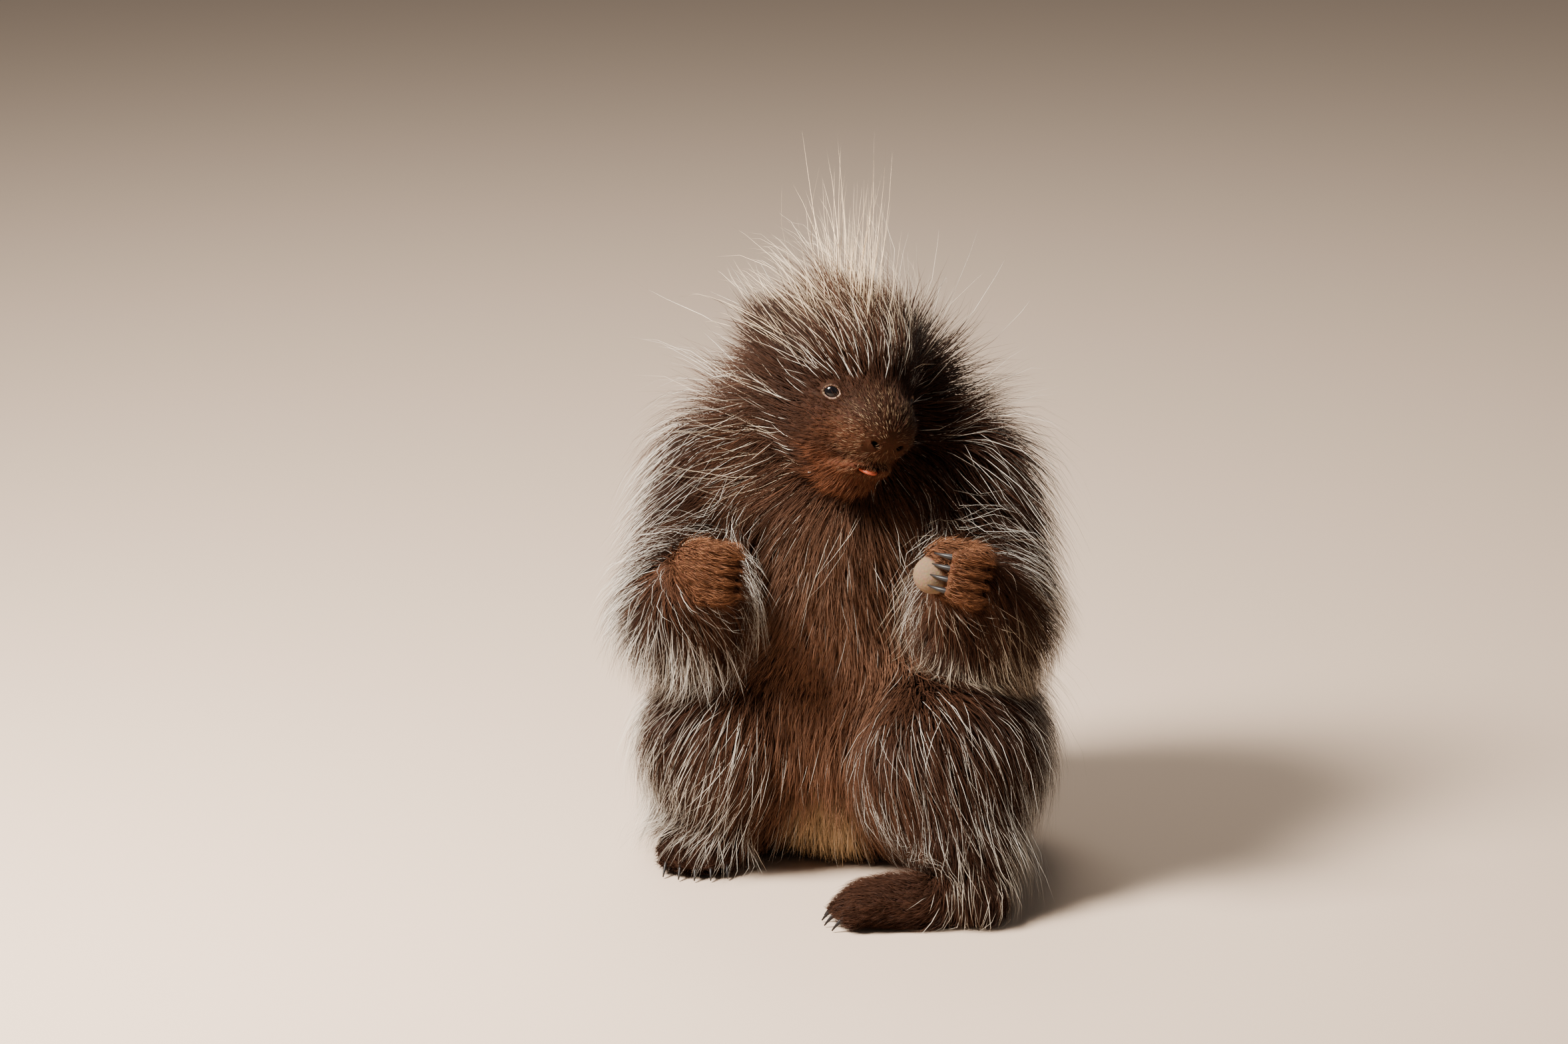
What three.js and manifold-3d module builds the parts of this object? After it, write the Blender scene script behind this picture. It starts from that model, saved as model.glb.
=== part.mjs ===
// A young North American porcupine sitting up on its haunches with both forepaws raised, as a
// still, life-size model. Millimetres, +Z up. The animal faces -Y with its left side on +X, and
// the origin lies on the floor in the middle of the flat that its rump rests on.
import * as THREE from "three";
import { mergeVertices } from "three/addons/utils/BufferGeometryUtils.js";
import Module from "manifold-3d";

const wasm = await Module();
wasm.setup();

const GAP = 0.3; // free space between two pieces that touch
const SAG = 0.5; // share by which a coarse copy of a round form is grown, as its flat facets sag below it
const FLOOR = 0;
const CLAW_CLEARANCE = 0.9; // lowest that a claw's tip comes to the floor
const SEED = 71;
const DEGREE = Math.PI / 180;

const at = (x, y, z) => new THREE.Vector3(x, y, z);
const mixed = (a, b, share) => a.clone().lerp(b, share);
const towards = (from, to) => to.clone().sub(from).normalize();

// The head's own frame: x forward along the muzzle, y to the animal's left, z up.
const HEAD_CENTRE = at(6.6, -43.3, 222);
const HEAD_TURN = 40 * DEGREE; // towards the animal's left
const HEAD_NOD = 10 * DEGREE; // nose down
const HEAD_TILT = 15 * DEGREE; // left side down
const HEAD_AXES = { x: at(0, 0, 0), y: at(0, 0, 0), z: at(0, 0, 0) };
new THREE.Matrix4()
  .makeRotationZ(HEAD_TURN - 90 * DEGREE)
  .multiply(new THREE.Matrix4().makeRotationY(HEAD_NOD))
  .multiply(new THREE.Matrix4().makeRotationX(-HEAD_TILT))
  .extractBasis(HEAD_AXES.x, HEAD_AXES.y, HEAD_AXES.z);
const UP = at(0, 0, 1);
const DOWN = at(0, 0, -1);
const BODY_AXES = { x: at(1, 0, 0), y: at(0, 1, 0), z: UP };

// A point given along three axes from a centre.
function placed(centre, axes, x, y, z) {
  return centre.clone().addScaledVector(axes.x, x).addScaledVector(axes.y, y).addScaledVector(axes.z, z);
}
const onHead = (forward, left, up) => placed(HEAD_CENTRE, HEAD_AXES, forward, left, up);

// The joints of each side, from which the limbs are laid out. Left is +1, right is -1.
const SIDES = [
  {
    name: "left",
    sign: 1,
    shoulder: at(50, -4, 172),
    elbow: at(66, -40, 114),
    wrist: at(64, -77, 149),
    paw: at(59.5, -88, 155),
    hip: at(38, 10, 50),
    knee: at(52, -58, 62),
    kneeRadius: 31,
    ankle: at(67, -86, 22),
    heel: at(72, -100, 11),
    toes: at(30, -107, 8),
  },
  {
    name: "right",
    sign: -1,
    shoulder: at(-52, -4, 174),
    elbow: at(-66, -42, 114),
    wrist: at(-57, -76, 143),
    paw: at(-53, -87, 150),
    hip: at(-36, 14, 50),
    knee: at(-54, -38, 58),
    kneeRadius: 25,
    ankle: at(-60, -22, 22),
    heel: at(-64, -4, 11),
    toes: at(-61, -42, 8),
  },
];

// The masses of the trunk and of the head under the coat, each an ellipsoid, and how softly they blend.
const TRUNK = {
  middle: at(0, 10, 105),
  blend: 22,
  seat: { centre: at(0, 6, 70), radii: [57, 56, 74] },
  back: { centre: at(0, 24, 112), radii: [50, 46, 80] },
  breast: { centre: at(0, -4, 140), radii: [49, 44, 56] },
  shoulders: { centre: at(0, 8, 176), radii: [50, 38, 32] },
};
const HEAD = {
  middle: onHead(4, 0, -6),
  blend: 9,
  cranium: { centre: onHead(-8, 0, 1), radii: [31, 27, 24] },
  leftCheek: { centre: onHead(5, 14, -13), radii: [19, 14, 18] },
  rightCheek: { centre: onHead(5, -14, -13), radii: [19, 14, 18] },
  snout: { centre: onHead(26.5, 0, -8), radii: [12.5, 17, 13.5] },
  jaw: { centre: onHead(12, 0, -31), radii: [16, 15, 9] },
};
// Round stretches: their radii at each end, or from root to tip.
const BRIDGE = { back: onHead(6, 0, -1), front: onHead(24, 0, -5), radii: [19, 14] };
const NECK = { back: at(1, -5, 195), middle: at(-2, -14, 205), front: at(-5, -24, 216), radii: [39, 29] };
const TAIL = {
  root: at(0, 50, 30),
  middle: at(-14, 106, 17),
  tip: at(-36, 152, 11),
  radii: [19, 15, 8],
  blend: 12,
};
const LIMB = {
  upperArm: [23, 17],
  forearm: [16, 10.5],
  hip: 38,
  haunch: [28, 42, 44],
  shank: [21, 13],
  blend: 14,
};
const SOLE = { heel: 10.5, toes: 9.8, ball: [20, 14.5, 10], blend: 8 };
const FIST = { back: [12, 12.5, 8.5], palm: [8, 10, 6], palmPlace: [-4, 0, -6], blend: 5 };

// How far a node's solid core stands off the skin, and the locks of coat that grow out of it: their
// length and half their width, how steeply they leave the skin and how steeply they end, in degrees,
// and the least distance between two roots.
const COAT = {
  head: { core: 1.6, locks: { length: 46, width: 7, lift: 46, settle: 26, spacing: 14 } },
  forepaw: { core: 1.5 },
  foot: { core: 2 },
  tail: { core: 5, locks: { length: 38, width: 9, lift: 28, settle: 10, spacing: 33 } },
  shank: { core: 4, locks: { length: 30, width: 9, lift: 24, settle: 6, spacing: 31 } },
  thigh: { core: 7, locks: { length: 52, width: 12.5, lift: 30, settle: 8, spacing: 32 } },
  torso: { core: 8, locks: { length: 56, width: 12, lift: 34, settle: 12, spacing: 30 } },
  forearm: { core: 4, locks: { length: 38, width: 9, lift: 30, settle: 6, spacing: 25 } },
  upper_arm: { core: 5, locks: { length: 48, width: 10, lift: 34, settle: 10, spacing: 28 } },
  neck: { core: 7, locks: { length: 60, width: 11, lift: 44, settle: 24, spacing: 28 } },
};
const ROOT_DEPTH = 4.5; // how far a lock's root is sunk in its core
const LOWEST_HAIR = 2.2; // the middle of a lock keeps this far above the floor
const LOWEST_TAIL_LOCK = 6; // heights above which each part's locks have their roots
const LOWEST_LEG_LOCK = 10;
const LOWEST_TORSO_LOCK = 12;
// The crest's spines, which lean by the share called rise from the skin's own way out to straight up.
const CREST = {
  length: 78,
  width: 1.5,
  depth: 1,
  lift: 86,
  settle: 80,
  rise: 0.55,
  spacing: 6,
  count: 11,
  rings: 2,
};

// Distance from a point to an ellipsoid's surface, below zero inside it. Shapes take bare coordinates,
// because a coat asks for them a great many times.
function ellipsoid(centre, radii, axes = BODY_AXES) {
  const [u, v, w] = [axes.x, axes.y, axes.z];
  const [a, b, c] = radii;
  return (px, py, pz) => {
    const [x, y, z] = [px - centre.x, py - centre.y, pz - centre.z];
    const i = (x * u.x + y * u.y + z * u.z) / a;
    const j = (x * v.x + y * v.y + z * v.z) / b;
    const k = (x * w.x + y * w.y + z * w.z) / c;
    const slope = Math.hypot(i / a, j / b, k / c);
    const size = Math.hypot(i, j, k);
    return slope < 1e-9 ? -Math.min(a, b, c) : (size * (size - 1)) / slope;
  };
}

// Distance to a rounded bar whose radius changes evenly from one end to the other.
function bar(start, startRadius, end, endRadius) {
  const [ax, ay, az] = end.clone().sub(start).toArray();
  const squared = ax * ax + ay * ay + az * az;
  return (px, py, pz) => {
    const [x, y, z] = [px - start.x, py - start.y, pz - start.z];
    const share = Math.min(1, Math.max(0, (x * ax + y * ay + z * az) / squared));
    const away = Math.hypot(x - share * ax, y - share * ay, z - share * az);
    return away - startRadius - share * (endRadius - startRadius);
  };
}

// Several shapes that run into one another over a fillet of about the blend's width.
function blended(blend, ...shapes) {
  return (x, y, z) => {
    let near = shapes[0](x, y, z);
    for (let i = 1; i < shapes.length; i++) {
      const next = shapes[i](x, y, z);
      const share = Math.min(1, Math.max(0, 0.5 + (0.5 * (near - next)) / blend));
      near += share * (next - near) - blend * share * (1 - share);
    }
    return near;
  };
}

// The direction in which a distance grows fastest.
function outward(shape, { x, y, z }) {
  const d = 0.5;
  return at(
    shape(x + d, y, z) - shape(x - d, y, z),
    shape(x, y + d, z) - shape(x, y - d, z),
    shape(x, y, z + d) - shape(x, y, z - d),
  ).normalize();
}

// The skin of each part of the body.
const mass = ({ centre, radii }, axes) => ellipsoid(centre, radii, axes);
const torsoSkin = blended(
  TRUNK.blend,
  mass(TRUNK.seat),
  mass(TRUNK.back),
  mass(TRUNK.breast),
  mass(TRUNK.shoulders),
);
const stretch = (start, end, [startRadius, endRadius]) => bar(start, startRadius, end, endRadius);
const neckSkin = stretch(NECK.back, NECK.front, NECK.radii);
const headSkin = blended(
  HEAD.blend,
  mass(HEAD.cranium, HEAD_AXES),
  mass(HEAD.leftCheek, HEAD_AXES),
  mass(HEAD.rightCheek, HEAD_AXES),
  stretch(BRIDGE.back, BRIDGE.front, BRIDGE.radii),
  mass(HEAD.snout, HEAD_AXES),
  mass(HEAD.jaw, HEAD_AXES),
);
const tailSkin = blended(
  TAIL.blend,
  stretch(TAIL.root, TAIL.middle, TAIL.radii.slice(0, 2)),
  stretch(TAIL.middle, TAIL.tip, TAIL.radii.slice(1)),
);

const limbSkin = (side) => ({
  upper_arm: stretch(side.shoulder, side.elbow, LIMB.upperArm),
  forearm: stretch(side.elbow, side.wrist, LIMB.forearm),
  thigh: blended(
    LIMB.blend,
    stretch(side.hip, side.knee, [LIMB.hip, side.kneeRadius]),
    ellipsoid(mixed(side.hip, side.knee, 0.5), LIMB.haunch),
  ),
  shank: stretch(side.knee, side.ankle, LIMB.shank),
});

const allSkin = blended(
  8,
  torsoSkin,
  neckSkin,
  headSkin,
  tailSkin,
  ...SIDES.flatMap((side) => Object.values(limbSkin(side))),
);

// Corners and faces as a solid for joining and cutting.
function solidFrom(places, faces) {
  const vertProperties = Float32Array.from(places);
  const triVerts = Uint32Array.from(faces);
  return new wasm.Manifold(new wasm.Mesh({ numProp: 3, vertProperties, triVerts }));
}

// A geometry as a solid, and a solid as a geometry again.
function solidOf(geometry) {
  const bare = new THREE.BufferGeometry().setAttribute("position", geometry.getAttribute("position"));
  if (geometry.index) bare.setIndex(geometry.index);
  const merged = mergeVertices(bare, 1e-4);
  return solidFrom(merged.attributes.position.array, merged.index.array);
}

function geometryOf(solid) {
  const mesh = solid.getMesh();
  const places = new Float32Array(mesh.numVert * 3);
  for (let i = 0; i < mesh.numVert; i++) {
    places.set(mesh.vertProperties.subarray(i * mesh.numProp, i * mesh.numProp + 3), i * 3);
  }
  const geometry = new THREE.BufferGeometry();
  geometry.setAttribute("position", new THREE.BufferAttribute(places, 3));
  geometry.setIndex(new THREE.BufferAttribute(mesh.triVerts, 1));
  geometry.computeVertexNormals();
  return geometry;
}

// The largest closed surface of a solid, which also fills any hollow that joining seals.
function whole(solid) {
  return solid.decompose().reduce((kept, next) => (next.volume() > kept.volume() ? next : kept));
}

const valueAt = (value, p) => (typeof value === "function" ? value(p) : value);

// The outermost point along a way from a centre that lies at a set distance from a shape. The point
// comes in from outside by a share of the distance that is left, until it is near enough.
const OUTSIDE = 180;
const STEP_SHARE = 0.85;
const MOST_STEPS = 100;
const NEAR = 1e-3;
function castTo(shape, centre, way, standOff) {
  const direction = way.clone().normalize();
  const p = at(0, 0, 0);
  let out = OUTSIDE;
  for (let n = 0; n < MOST_STEPS; n++) {
    p.copy(centre).addScaledVector(direction, out);
    const left = shape(p.x, p.y, p.z) - valueAt(standOff, p);
    if (Math.abs(left) < NEAR) break;
    out -= STEP_SHARE * left;
  }
  return p.clone();
}

// A closed surface drawn round a shape, at a set distance from it, as seen from one centre.
function wrapped(shape, centre, detail, standOff, extra = 0) {
  if (extra) {
    const coarse = Math.max(2, detail - 1);
    const sag = SAG / (coarse + 1) ** 2;
    const grown = (p) => valueAt(standOff, p) + extra + sag * p.distanceTo(centre);
    return wrapped(shape, centre, coarse, grown);
  }
  const ball = new THREE.IcosahedronGeometry(1, detail);
  ball.deleteAttribute("normal");
  ball.deleteAttribute("uv");
  const geometry = mergeVertices(ball);
  const places = geometry.attributes.position;
  for (let i = 0; i < places.count; i++) {
    const met = castTo(shape, centre, at(0, 0, 0).fromBufferAttribute(places, i), standOff);
    places.setXYZ(i, met.x, met.y, met.z);
  }
  return solidOf(geometry);
}

const below = solidOf(new THREE.BoxGeometry(900, 900, 200).translate(0, 0, FLOOR - 100));

// A tapered strand along a path of points, with flat sections, from a capped root to a tip.
function strand(path, faceOut, halfWidths, halfDepths, corners) {
  const places = [];
  const faces = [];
  const rings = path.length - 1;
  for (let i = 0; i < rings; i++) {
    const along = path[i + 1].clone().sub(path[Math.max(i - 1, 0)]).normalize();
    const out = faceOut[i].clone().addScaledVector(along, -faceOut[i].dot(along)).normalize();
    const side = out.clone().cross(along);
    const axes = { x: side, y: out, z: along };
    corners.forEach(([across, deep]) => {
      const p = placed(path[i], axes, across * halfWidths[i], deep * halfDepths[i], 0);
      places.push(p.x, p.y, p.z);
    });
  }
  places.push(...path[rings].toArray());
  const n = corners.length;
  for (let j = 0; j < n; j++) {
    const next = (j + 1) % n;
    for (let i = 0; i < rings - 1; i++) {
      const here = i * n;
      faces.push(here + j, here + next, here + n + next, here + j, here + n + next, here + n + j);
    }
    faces.push((rings - 1) * n + j, (rings - 1) * n + next, rings * n);
  }
  for (let j = 1; j < n - 1; j++) faces.push(0, j + 1, j);
  return solidFrom(places, faces);
}

// The corners of a round section with a number of sides.
const roundCorners = (sides) =>
  Array.from({ length: sides }, (_, i) => {
    const angle = (2 * Math.PI * i) / sides;
    return [Math.cos(angle), Math.sin(angle)];
  });

// A claw or toe: a round tapered strand along a curve through three points, grown all round by a little.
// A grown one is rounder by a share, as its sides lie flat between their corners, and ends in a point.
const ROUNDER = 1.2;
const POINT = 4;
function curved([start, bend, end], form, faceOut, extra) {
  const { radius, tip, steps, sides } = form;
  const path = new THREE.QuadraticBezierCurve3(start, bend, end).getPoints(steps);
  const radii = path.map((_, i) => THREE.MathUtils.lerp(radius, tip, i / steps) + ROUNDER * extra);
  if (extra) {
    const onward = towards(path[steps - 1], path[steps]);
    const beyond = path[steps].clone().addScaledVector(onward, POINT * extra);
    path[0].addScaledVector(towards(path[1], path[0]), extra);
    path.push(beyond);
    radii.push(0);
  }
  return strand(path, path.map(() => faceOut), radii, radii, roundCorners(sides));
}
const CLAW = { radius: 2.1, tip: 0.3, steps: 3, sides: 5 };
const SOCKET = { radius: 2.2, tip: 0.4, steps: 3, sides: 5 };
const HIND_TOE = { radius: 5.5, tip: 4.4, steps: 3, sides: 6 };
const FORE_TOE = { radius: 5, tip: 3.2, steps: 3, sides: 6 };

const nodes = new Map(); // name to solid
const SLIVER = 0.04; // facets that lie this close to their neighbours are merged
const add = (name, solid) => nodes.set(name, whole(solid.simplify(SLIVER)));

// Torso, with the flat that it sits on.
// The belly's coat grows shorter from one depth to another, and has no locks within its width.
const BELLY = { from: -20, to: -60, share: 0.3, back: -25, halfWidth: 34 };
const bellyShare = (p) =>
  THREE.MathUtils.lerp(BELLY.share, 1, THREE.MathUtils.smoothstep(p.y, BELLY.to, BELLY.from));
const torsoAt = (standOff, extra) =>
  wrapped(torsoSkin, TRUNK.middle, extra ? 6 : 5, (p) => standOff * bellyShare(p), extra).subtract(below);

// Head: nostrils, the parted mouth with its lips, lids and sockets are cut and raised on it.
const EYE = { forward: 13, side: 18.6, up: 2.2, radius: 4.8, ahead: 1.25, raised: 0.25 };
const SOCKET_SHARE = 1.075; // the ball that cuts an eye's socket is faceted, so it is grown by a share
const LID = {
  radius: 4.4,
  thick: 1.5,
  wide: 1.1,
  high: 0.92,
  proud: 3.2,
  opening: [3.5, 2.8, 4.5],
  openingProud: 5,
};
const NOSTRIL = { forward: 37.5, side: 6.1, up: -11, slant: 0.6, radii: [2.8, 1.3, 4] };
const MOUTH = { forward: 19, up: -28, rise: 18 * DEGREE, gape: 1.6, lips: [18.5, 15, 4.5], slit: [22, 17] };
const TONGUE = { forward: 30, side: -1, up: -25, radii: [7, 5, 1.1] };
const eyeCentre = (sign) => onHead(EYE.forward, sign * EYE.side, EYE.up);
// An eye faces out from the head, and ahead and up by shares of that way.
const eyeLook = (sign) => {
  const out = HEAD_AXES.y.clone().multiplyScalar(sign);
  return placed(out, HEAD_AXES, EYE.ahead, 0, EYE.raised).normalize();
};

// A ball squashed along three axes.
function lump(centre, radii, axes, detail) {
  const basis = new THREE.Matrix4().makeBasis(axes.x, axes.y, axes.z).setPosition(centre);
  const geometry = new THREE.IcosahedronGeometry(1, detail);
  return solidOf(geometry.scale(...radii).applyMatrix4(basis));
}

// Axes that look along one direction, level with the head, for what is set into its side or front.
function facing(look) {
  const level = HEAD_AXES.z.clone().cross(look).normalize();
  return { x: level, y: look.clone().cross(level), z: look };
}

// The rim of both lids round one eye, and the opening between them.
function lids(sign) {
  const axes = facing(eyeLook(sign));
  const rim = new THREE.TorusGeometry(LID.radius, LID.thick, 4, 11).scale(LID.wide, LID.high, 1);
  const seat = new THREE.Matrix4().makeBasis(axes.x, axes.y, axes.z);
  rim.applyMatrix4(seat.setPosition(placed(eyeCentre(sign), axes, 0, 0, LID.proud)));
  const opening = lump(placed(eyeCentre(sign), axes, 0, 0, LID.openingProud), LID.opening, axes, 1);
  return { rim: solidOf(rim), opening };
}

function nostril(sign) {
  const flare = HEAD_AXES.y.clone().multiplyScalar(sign).addScaledVector(HEAD_AXES.z, NOSTRIL.slant);
  const x = flare.normalize();
  const axes = { x, y: HEAD_AXES.x.clone().cross(x), z: HEAD_AXES.x };
  return lump(onHead(NOSTRIL.forward, sign * NOSTRIL.side, NOSTRIL.up), NOSTRIL.radii, axes, 1);
}

// The lips as a low rim that follows the parted mouth, and the slit between them.
function mouthForm(radii) {
  const x = HEAD_AXES.x.clone().applyAxisAngle(HEAD_AXES.y, -MOUTH.rise);
  const axes = { x, y: HEAD_AXES.y, z: x.clone().cross(HEAD_AXES.y) };
  return lump(onHead(MOUTH.forward, 0, MOUTH.up), radii, axes, 2);
}
const tongueCentre = onHead(TONGUE.forward, TONGUE.side, TONGUE.up);
const grownBy = (radii, extra) => radii.map((radius) => radius + extra);
const tongue = (extra) => lump(tongueCentre, grownBy(TONGUE.radii, extra), HEAD_AXES, 1);

function headSolid(standOff, extra) {
  let head = wrapped(headSkin, HEAD.middle, 6, standOff, extra);
  head = head.add(mouthForm(grownBy(MOUTH.lips, extra)));
  if (extra) return head;
  for (const { sign } of SIDES) head = head.add(lids(sign).rim);
  for (const { sign } of SIDES) {
    const socket = lump(eyeCentre(sign), Array(3).fill(SOCKET_SHARE * (EYE.radius + GAP)), HEAD_AXES, 1);
    head = head.subtract(lids(sign).opening).subtract(socket);
    head = head.subtract(nostril(sign));
  }
  return head.subtract(mouthForm([...MOUTH.slit, MOUTH.gape])).subtract(tongue(GAP));
}

// A short round ear: a thick shell hollowed from the front. It points out from the head, swept back and
// raised by shares of that way.
const EAR = {
  forward: -19,
  side: 24,
  up: 9,
  swept: 0.9,
  raised: 0.35,
  radii: [11, 4.6, 9.5],
  hollow: [1.5, 4.2, 0],
  hollowRadii: [8.6, 5.2, 7],
};
function ear(sign, extra) {
  const out = HEAD_AXES.y.clone().multiplyScalar(sign);
  const back = placed(out, HEAD_AXES, -EAR.swept, 0, EAR.raised).normalize();
  const face = out.clone().cross(back).cross(back).multiplyScalar(-1).normalize();
  const axes = { x: back, y: face, z: back.clone().cross(face) };
  const centre = onHead(EAR.forward, sign * EAR.side, EAR.up);
  const cup = lump(centre, grownBy(EAR.radii, extra), axes, 2);
  if (extra) return cup;
  return cup.subtract(lump(placed(centre, axes, ...EAR.hollow), EAR.hollowRadii, axes, 1));
}

// A foot's length, sole and five toes, or a fist with four curled toes, each with its claws.
function footSolid(side, extra) {
  const along = side.toes.clone().sub(side.heel).setZ(0).normalize();
  const across = at(-along.y, along.x, 0);
  const middle = mixed(side.heel, side.toes, 0.5);
  const axes = { x: along, y: across, z: UP };
  const ball = ellipsoid(mixed(side.heel, side.toes, 0.75), SOLE.ball, axes);
  const sole = blended(SOLE.blend, bar(side.heel, SOLE.heel, side.toes, SOLE.toes), ball);
  return { axes, body: wrapped(sole, middle, 2, COAT.foot.core, extra) };
}
// Sets claws into a paw that has all its toes: each in a socket that leaves the gap round it.
function clawed(paw, claws, faceOut, extra) {
  return claws.reduce((sum, { name, path }) => {
    const socket = curved(path, SOCKET, faceOut, GAP + extra);
    if (extra) return sum.add(socket);
    add(name, curved(path, CLAW, faceOut, 0));
    return sum.subtract(socket);
  }, paw);
}

// Five toes spread from the end of the sole, the outer ones shorter by their place squared. Each arches
// over to its end, where its claw leaves it. Places are along the foot, across it and up.
const TOES = [-2, -1, 0, 1, 2];
const REACH = { middle: 15, lessPerPlace: 1.1, archAt: 0.7, arch: 5.5 };
function hindFoot(side, extra) {
  const { axes, body } = footSolid(side, extra);
  let foot = body;
  const claws = TOES.map((place) => {
    const reach = REACH.middle - REACH.lessPerPlace * place * place;
    const start = placed(side.toes, axes, -4, place * 5.2, 1);
    const end = placed(side.toes, axes, reach, place * 6.4, -1.5);
    const arch = placed(mixed(start, end, REACH.archAt), axes, 0, 0, REACH.arch);
    foot = foot.add(curved([start, arch, end], HIND_TOE, axes.z, extra));
    const root = placed(end, axes, -4.5, -place * 0.4, 1.5);
    const bend = placed(end, axes, 4, place * 0.3, 2.5);
    const tip = placed(end, axes, 9.5, place * 0.8, 0).setZ(CLAW_CLEARANCE);
    return { name: `claw_hind_${side.name}_${place + 3}`, path: [root, bend, tip] };
  });
  return clawed(foot, claws, axes.z, extra).subtract(below);
}

// The ways that each raised fist points: towards the knuckles, across the toes, and out of its back.
const FIST_WAYS = {
  left: { knuckles: at(0.875, -0.353, -0.1), back: at(0.353, 0.875, -0.2) },
  right: { knuckles: at(0.924, -0.345, -0.05), back: at(-0.345, -0.924, 0.15) },
};
const FINGERS = [-1.5, -0.5, 0.5, 1.5];
const FINGER_WIDTH = 5.6;
function forepaw(side, extra) {
  const { knuckles, back } = FIST_WAYS[side.name];
  const x = knuckles.clone().normalize();
  const z = x.clone().cross(back).cross(x).normalize();
  const axes = { x, y: z.clone().cross(x), z };
  const palm = blended(
    FIST.blend,
    ellipsoid(side.paw, FIST.back, axes),
    ellipsoid(placed(side.paw, axes, ...FIST.palmPlace), FIST.palm, axes),
  );
  let paw = wrapped(palm, side.paw, 2, COAT.forepaw.core, extra);
  const claws = FINGERS.map((place, i) => {
    const row = place * FINGER_WIDTH;
    const start = placed(side.paw, axes, 5, row, 3);
    const knuckle = placed(side.paw, axes, 20, row, -2);
    const end = placed(side.paw, axes, 7, row * 0.9, -12.5);
    paw = paw.add(curved([start, knuckle, end], FORE_TOE, axes.y, extra));
    const root = placed(side.paw, axes, 11, row * 0.9, -10.5);
    const bend = placed(side.paw, axes, 3, row * 0.88, -16.5);
    const tip = placed(side.paw, axes, -4, row * 0.85, -13.5);
    return { name: `claw_fore_${side.name}_${i + 1}`, path: [root, bend, tip] };
  });
  return clawed(paw, claws, axes.y, extra);
}

// Nodes as they are laid down. Each core gives way to those before it, with a gap between.
const laid = [];
function lay(name, shapeAt, coat) {
  let core = shapeAt(coat.core, 0);
  for (const earlier of laid) core = core.subtract(earlier);
  laid.push(shapeAt(coat.core, GAP));
  add(name, core);
}

lay("head", headSolid, COAT.head);
add("tongue", tongue(0));
for (const side of SIDES) {
  add(`eye_${side.name}`, lump(eyeCentre(side.sign), Array(3).fill(EYE.radius), HEAD_AXES, 2));
  lay(`ear_${side.name}`, (core, extra) => ear(side.sign, extra), COAT.head);
  lay(`forepaw_${side.name}`, (core, extra) => forepaw(side, extra), COAT.forepaw);
  lay(`hind_foot_${side.name}`, (core, extra) => hindFoot(side, extra), COAT.foot);
}
lay("torso", torsoAt, COAT.torso);
for (const side of SIDES) {
  const skin = limbSkin(side);
  const limb = (part, start, end, detail) => {
    const middle = mixed(start, end, 0.5);
    const shapeAt = (core, extra) => wrapped(skin[part], middle, detail, core, extra).subtract(below);
    lay(`${part}_${side.name}`, shapeAt, COAT[part]);
  };
  limb("shank", side.knee, side.ankle, 2);
  limb("thigh", side.hip, side.knee, 3);
  limb("forearm", side.elbow, side.wrist, 2);
  limb("upper_arm", side.shoulder, side.elbow, 2);
}
lay("neck", (core, extra) => wrapped(neckSkin, NECK.middle, 3, core, extra), COAT.neck);
lay("tail", (core, extra) => wrapped(tailSkin, TAIL.middle, 3, core, extra).subtract(below), COAT.tail);

// Repeatable random numbers: a share from 0 to 1, and a value that strays from 1 by up to a share.
const chance = () => THREE.MathUtils.seededRandom();
const stray = (share) => 1 + share * (2 * chance() - 1);

// The way that the coat lies at a point of each part, not yet laid along the skin.
const MUZZLE = onHead(34, 0, -8);
const lieOf = {
  head: (p) => towards(MUZZLE, p),
  neck: (p) => towards(MUZZLE, p).addScaledVector(DOWN, THREE.MathUtils.smoothstep(250 - p.z, 0, 60)),
  torso: (p) => {
    const ruff = THREE.MathUtils.smoothstep(p.z, 150, 210);
    const outwards = at(Math.sign(p.x) * 0.25, 0.12, 0);
    return towards(HEAD_CENTRE, p).multiplyScalar(ruff).add(DOWN).add(outwards);
  },
  tail: (p) => towards(TAIL.root, TAIL.tip),
  thigh: (p, side) => towards(side.hip, side.knee).multiplyScalar(0.35).add(at(0.3 * side.sign, 0, -1)),
  shank: (p, side) => towards(side.knee, side.ankle),
  upper_arm: (p, side) => towards(side.shoulder, side.elbow).add(at(0.7 * side.sign, 0, -0.5)),
  forearm: (p, side) => towards(side.wrist, p).addScaledVector(DOWN, 0.7),
};

// One lock as a flat blade with three edges, which bends along the lie and thins to its tip. Widths are
// shares of its form's, and depths are millimetres times its form's.
const BLADE = {
  corners: [
    [-1, -0.5],
    [1, -0.5],
    [0, 1],
  ],
  widths: [0.75, 1, 0.68],
  depths: [2, 1.7, 1.1],
  rings: 3,
  stepsPerRing: 4,
};
function blade(root, lie, form) {
  const steps = BLADE.stepsPerRing * form.rings;
  const path = [];
  const outs = [];
  const p = root.clone();
  for (let i = 0; i <= steps; i++) {
    const out = outward(allSkin, p).lerp(UP, form.rise).normalize();
    if (i % BLADE.stepsPerRing === 0) {
      path.push(p.clone());
      outs.push(out);
    }
    const flow = lie(p);
    flow.addScaledVector(out, -flow.dot(out)).normalize().applyAxisAngle(out, form.turn);
    const lift = THREE.MathUtils.lerp(form.lift, form.settle, i / steps) * DEGREE;
    const step = form.length / steps;
    p.addScaledVector(flow, step * Math.cos(lift)).addScaledVector(out, step * Math.sin(lift));
    p.z = Math.max(p.z, LOWEST_HAIR);
  }
  const widths = BLADE.widths.map((share) => share * form.width);
  const depths = BLADE.depths.map((depth) => depth * form.depth);
  return strand(path, outs, widths, depths, BLADE.corners);
}

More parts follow.
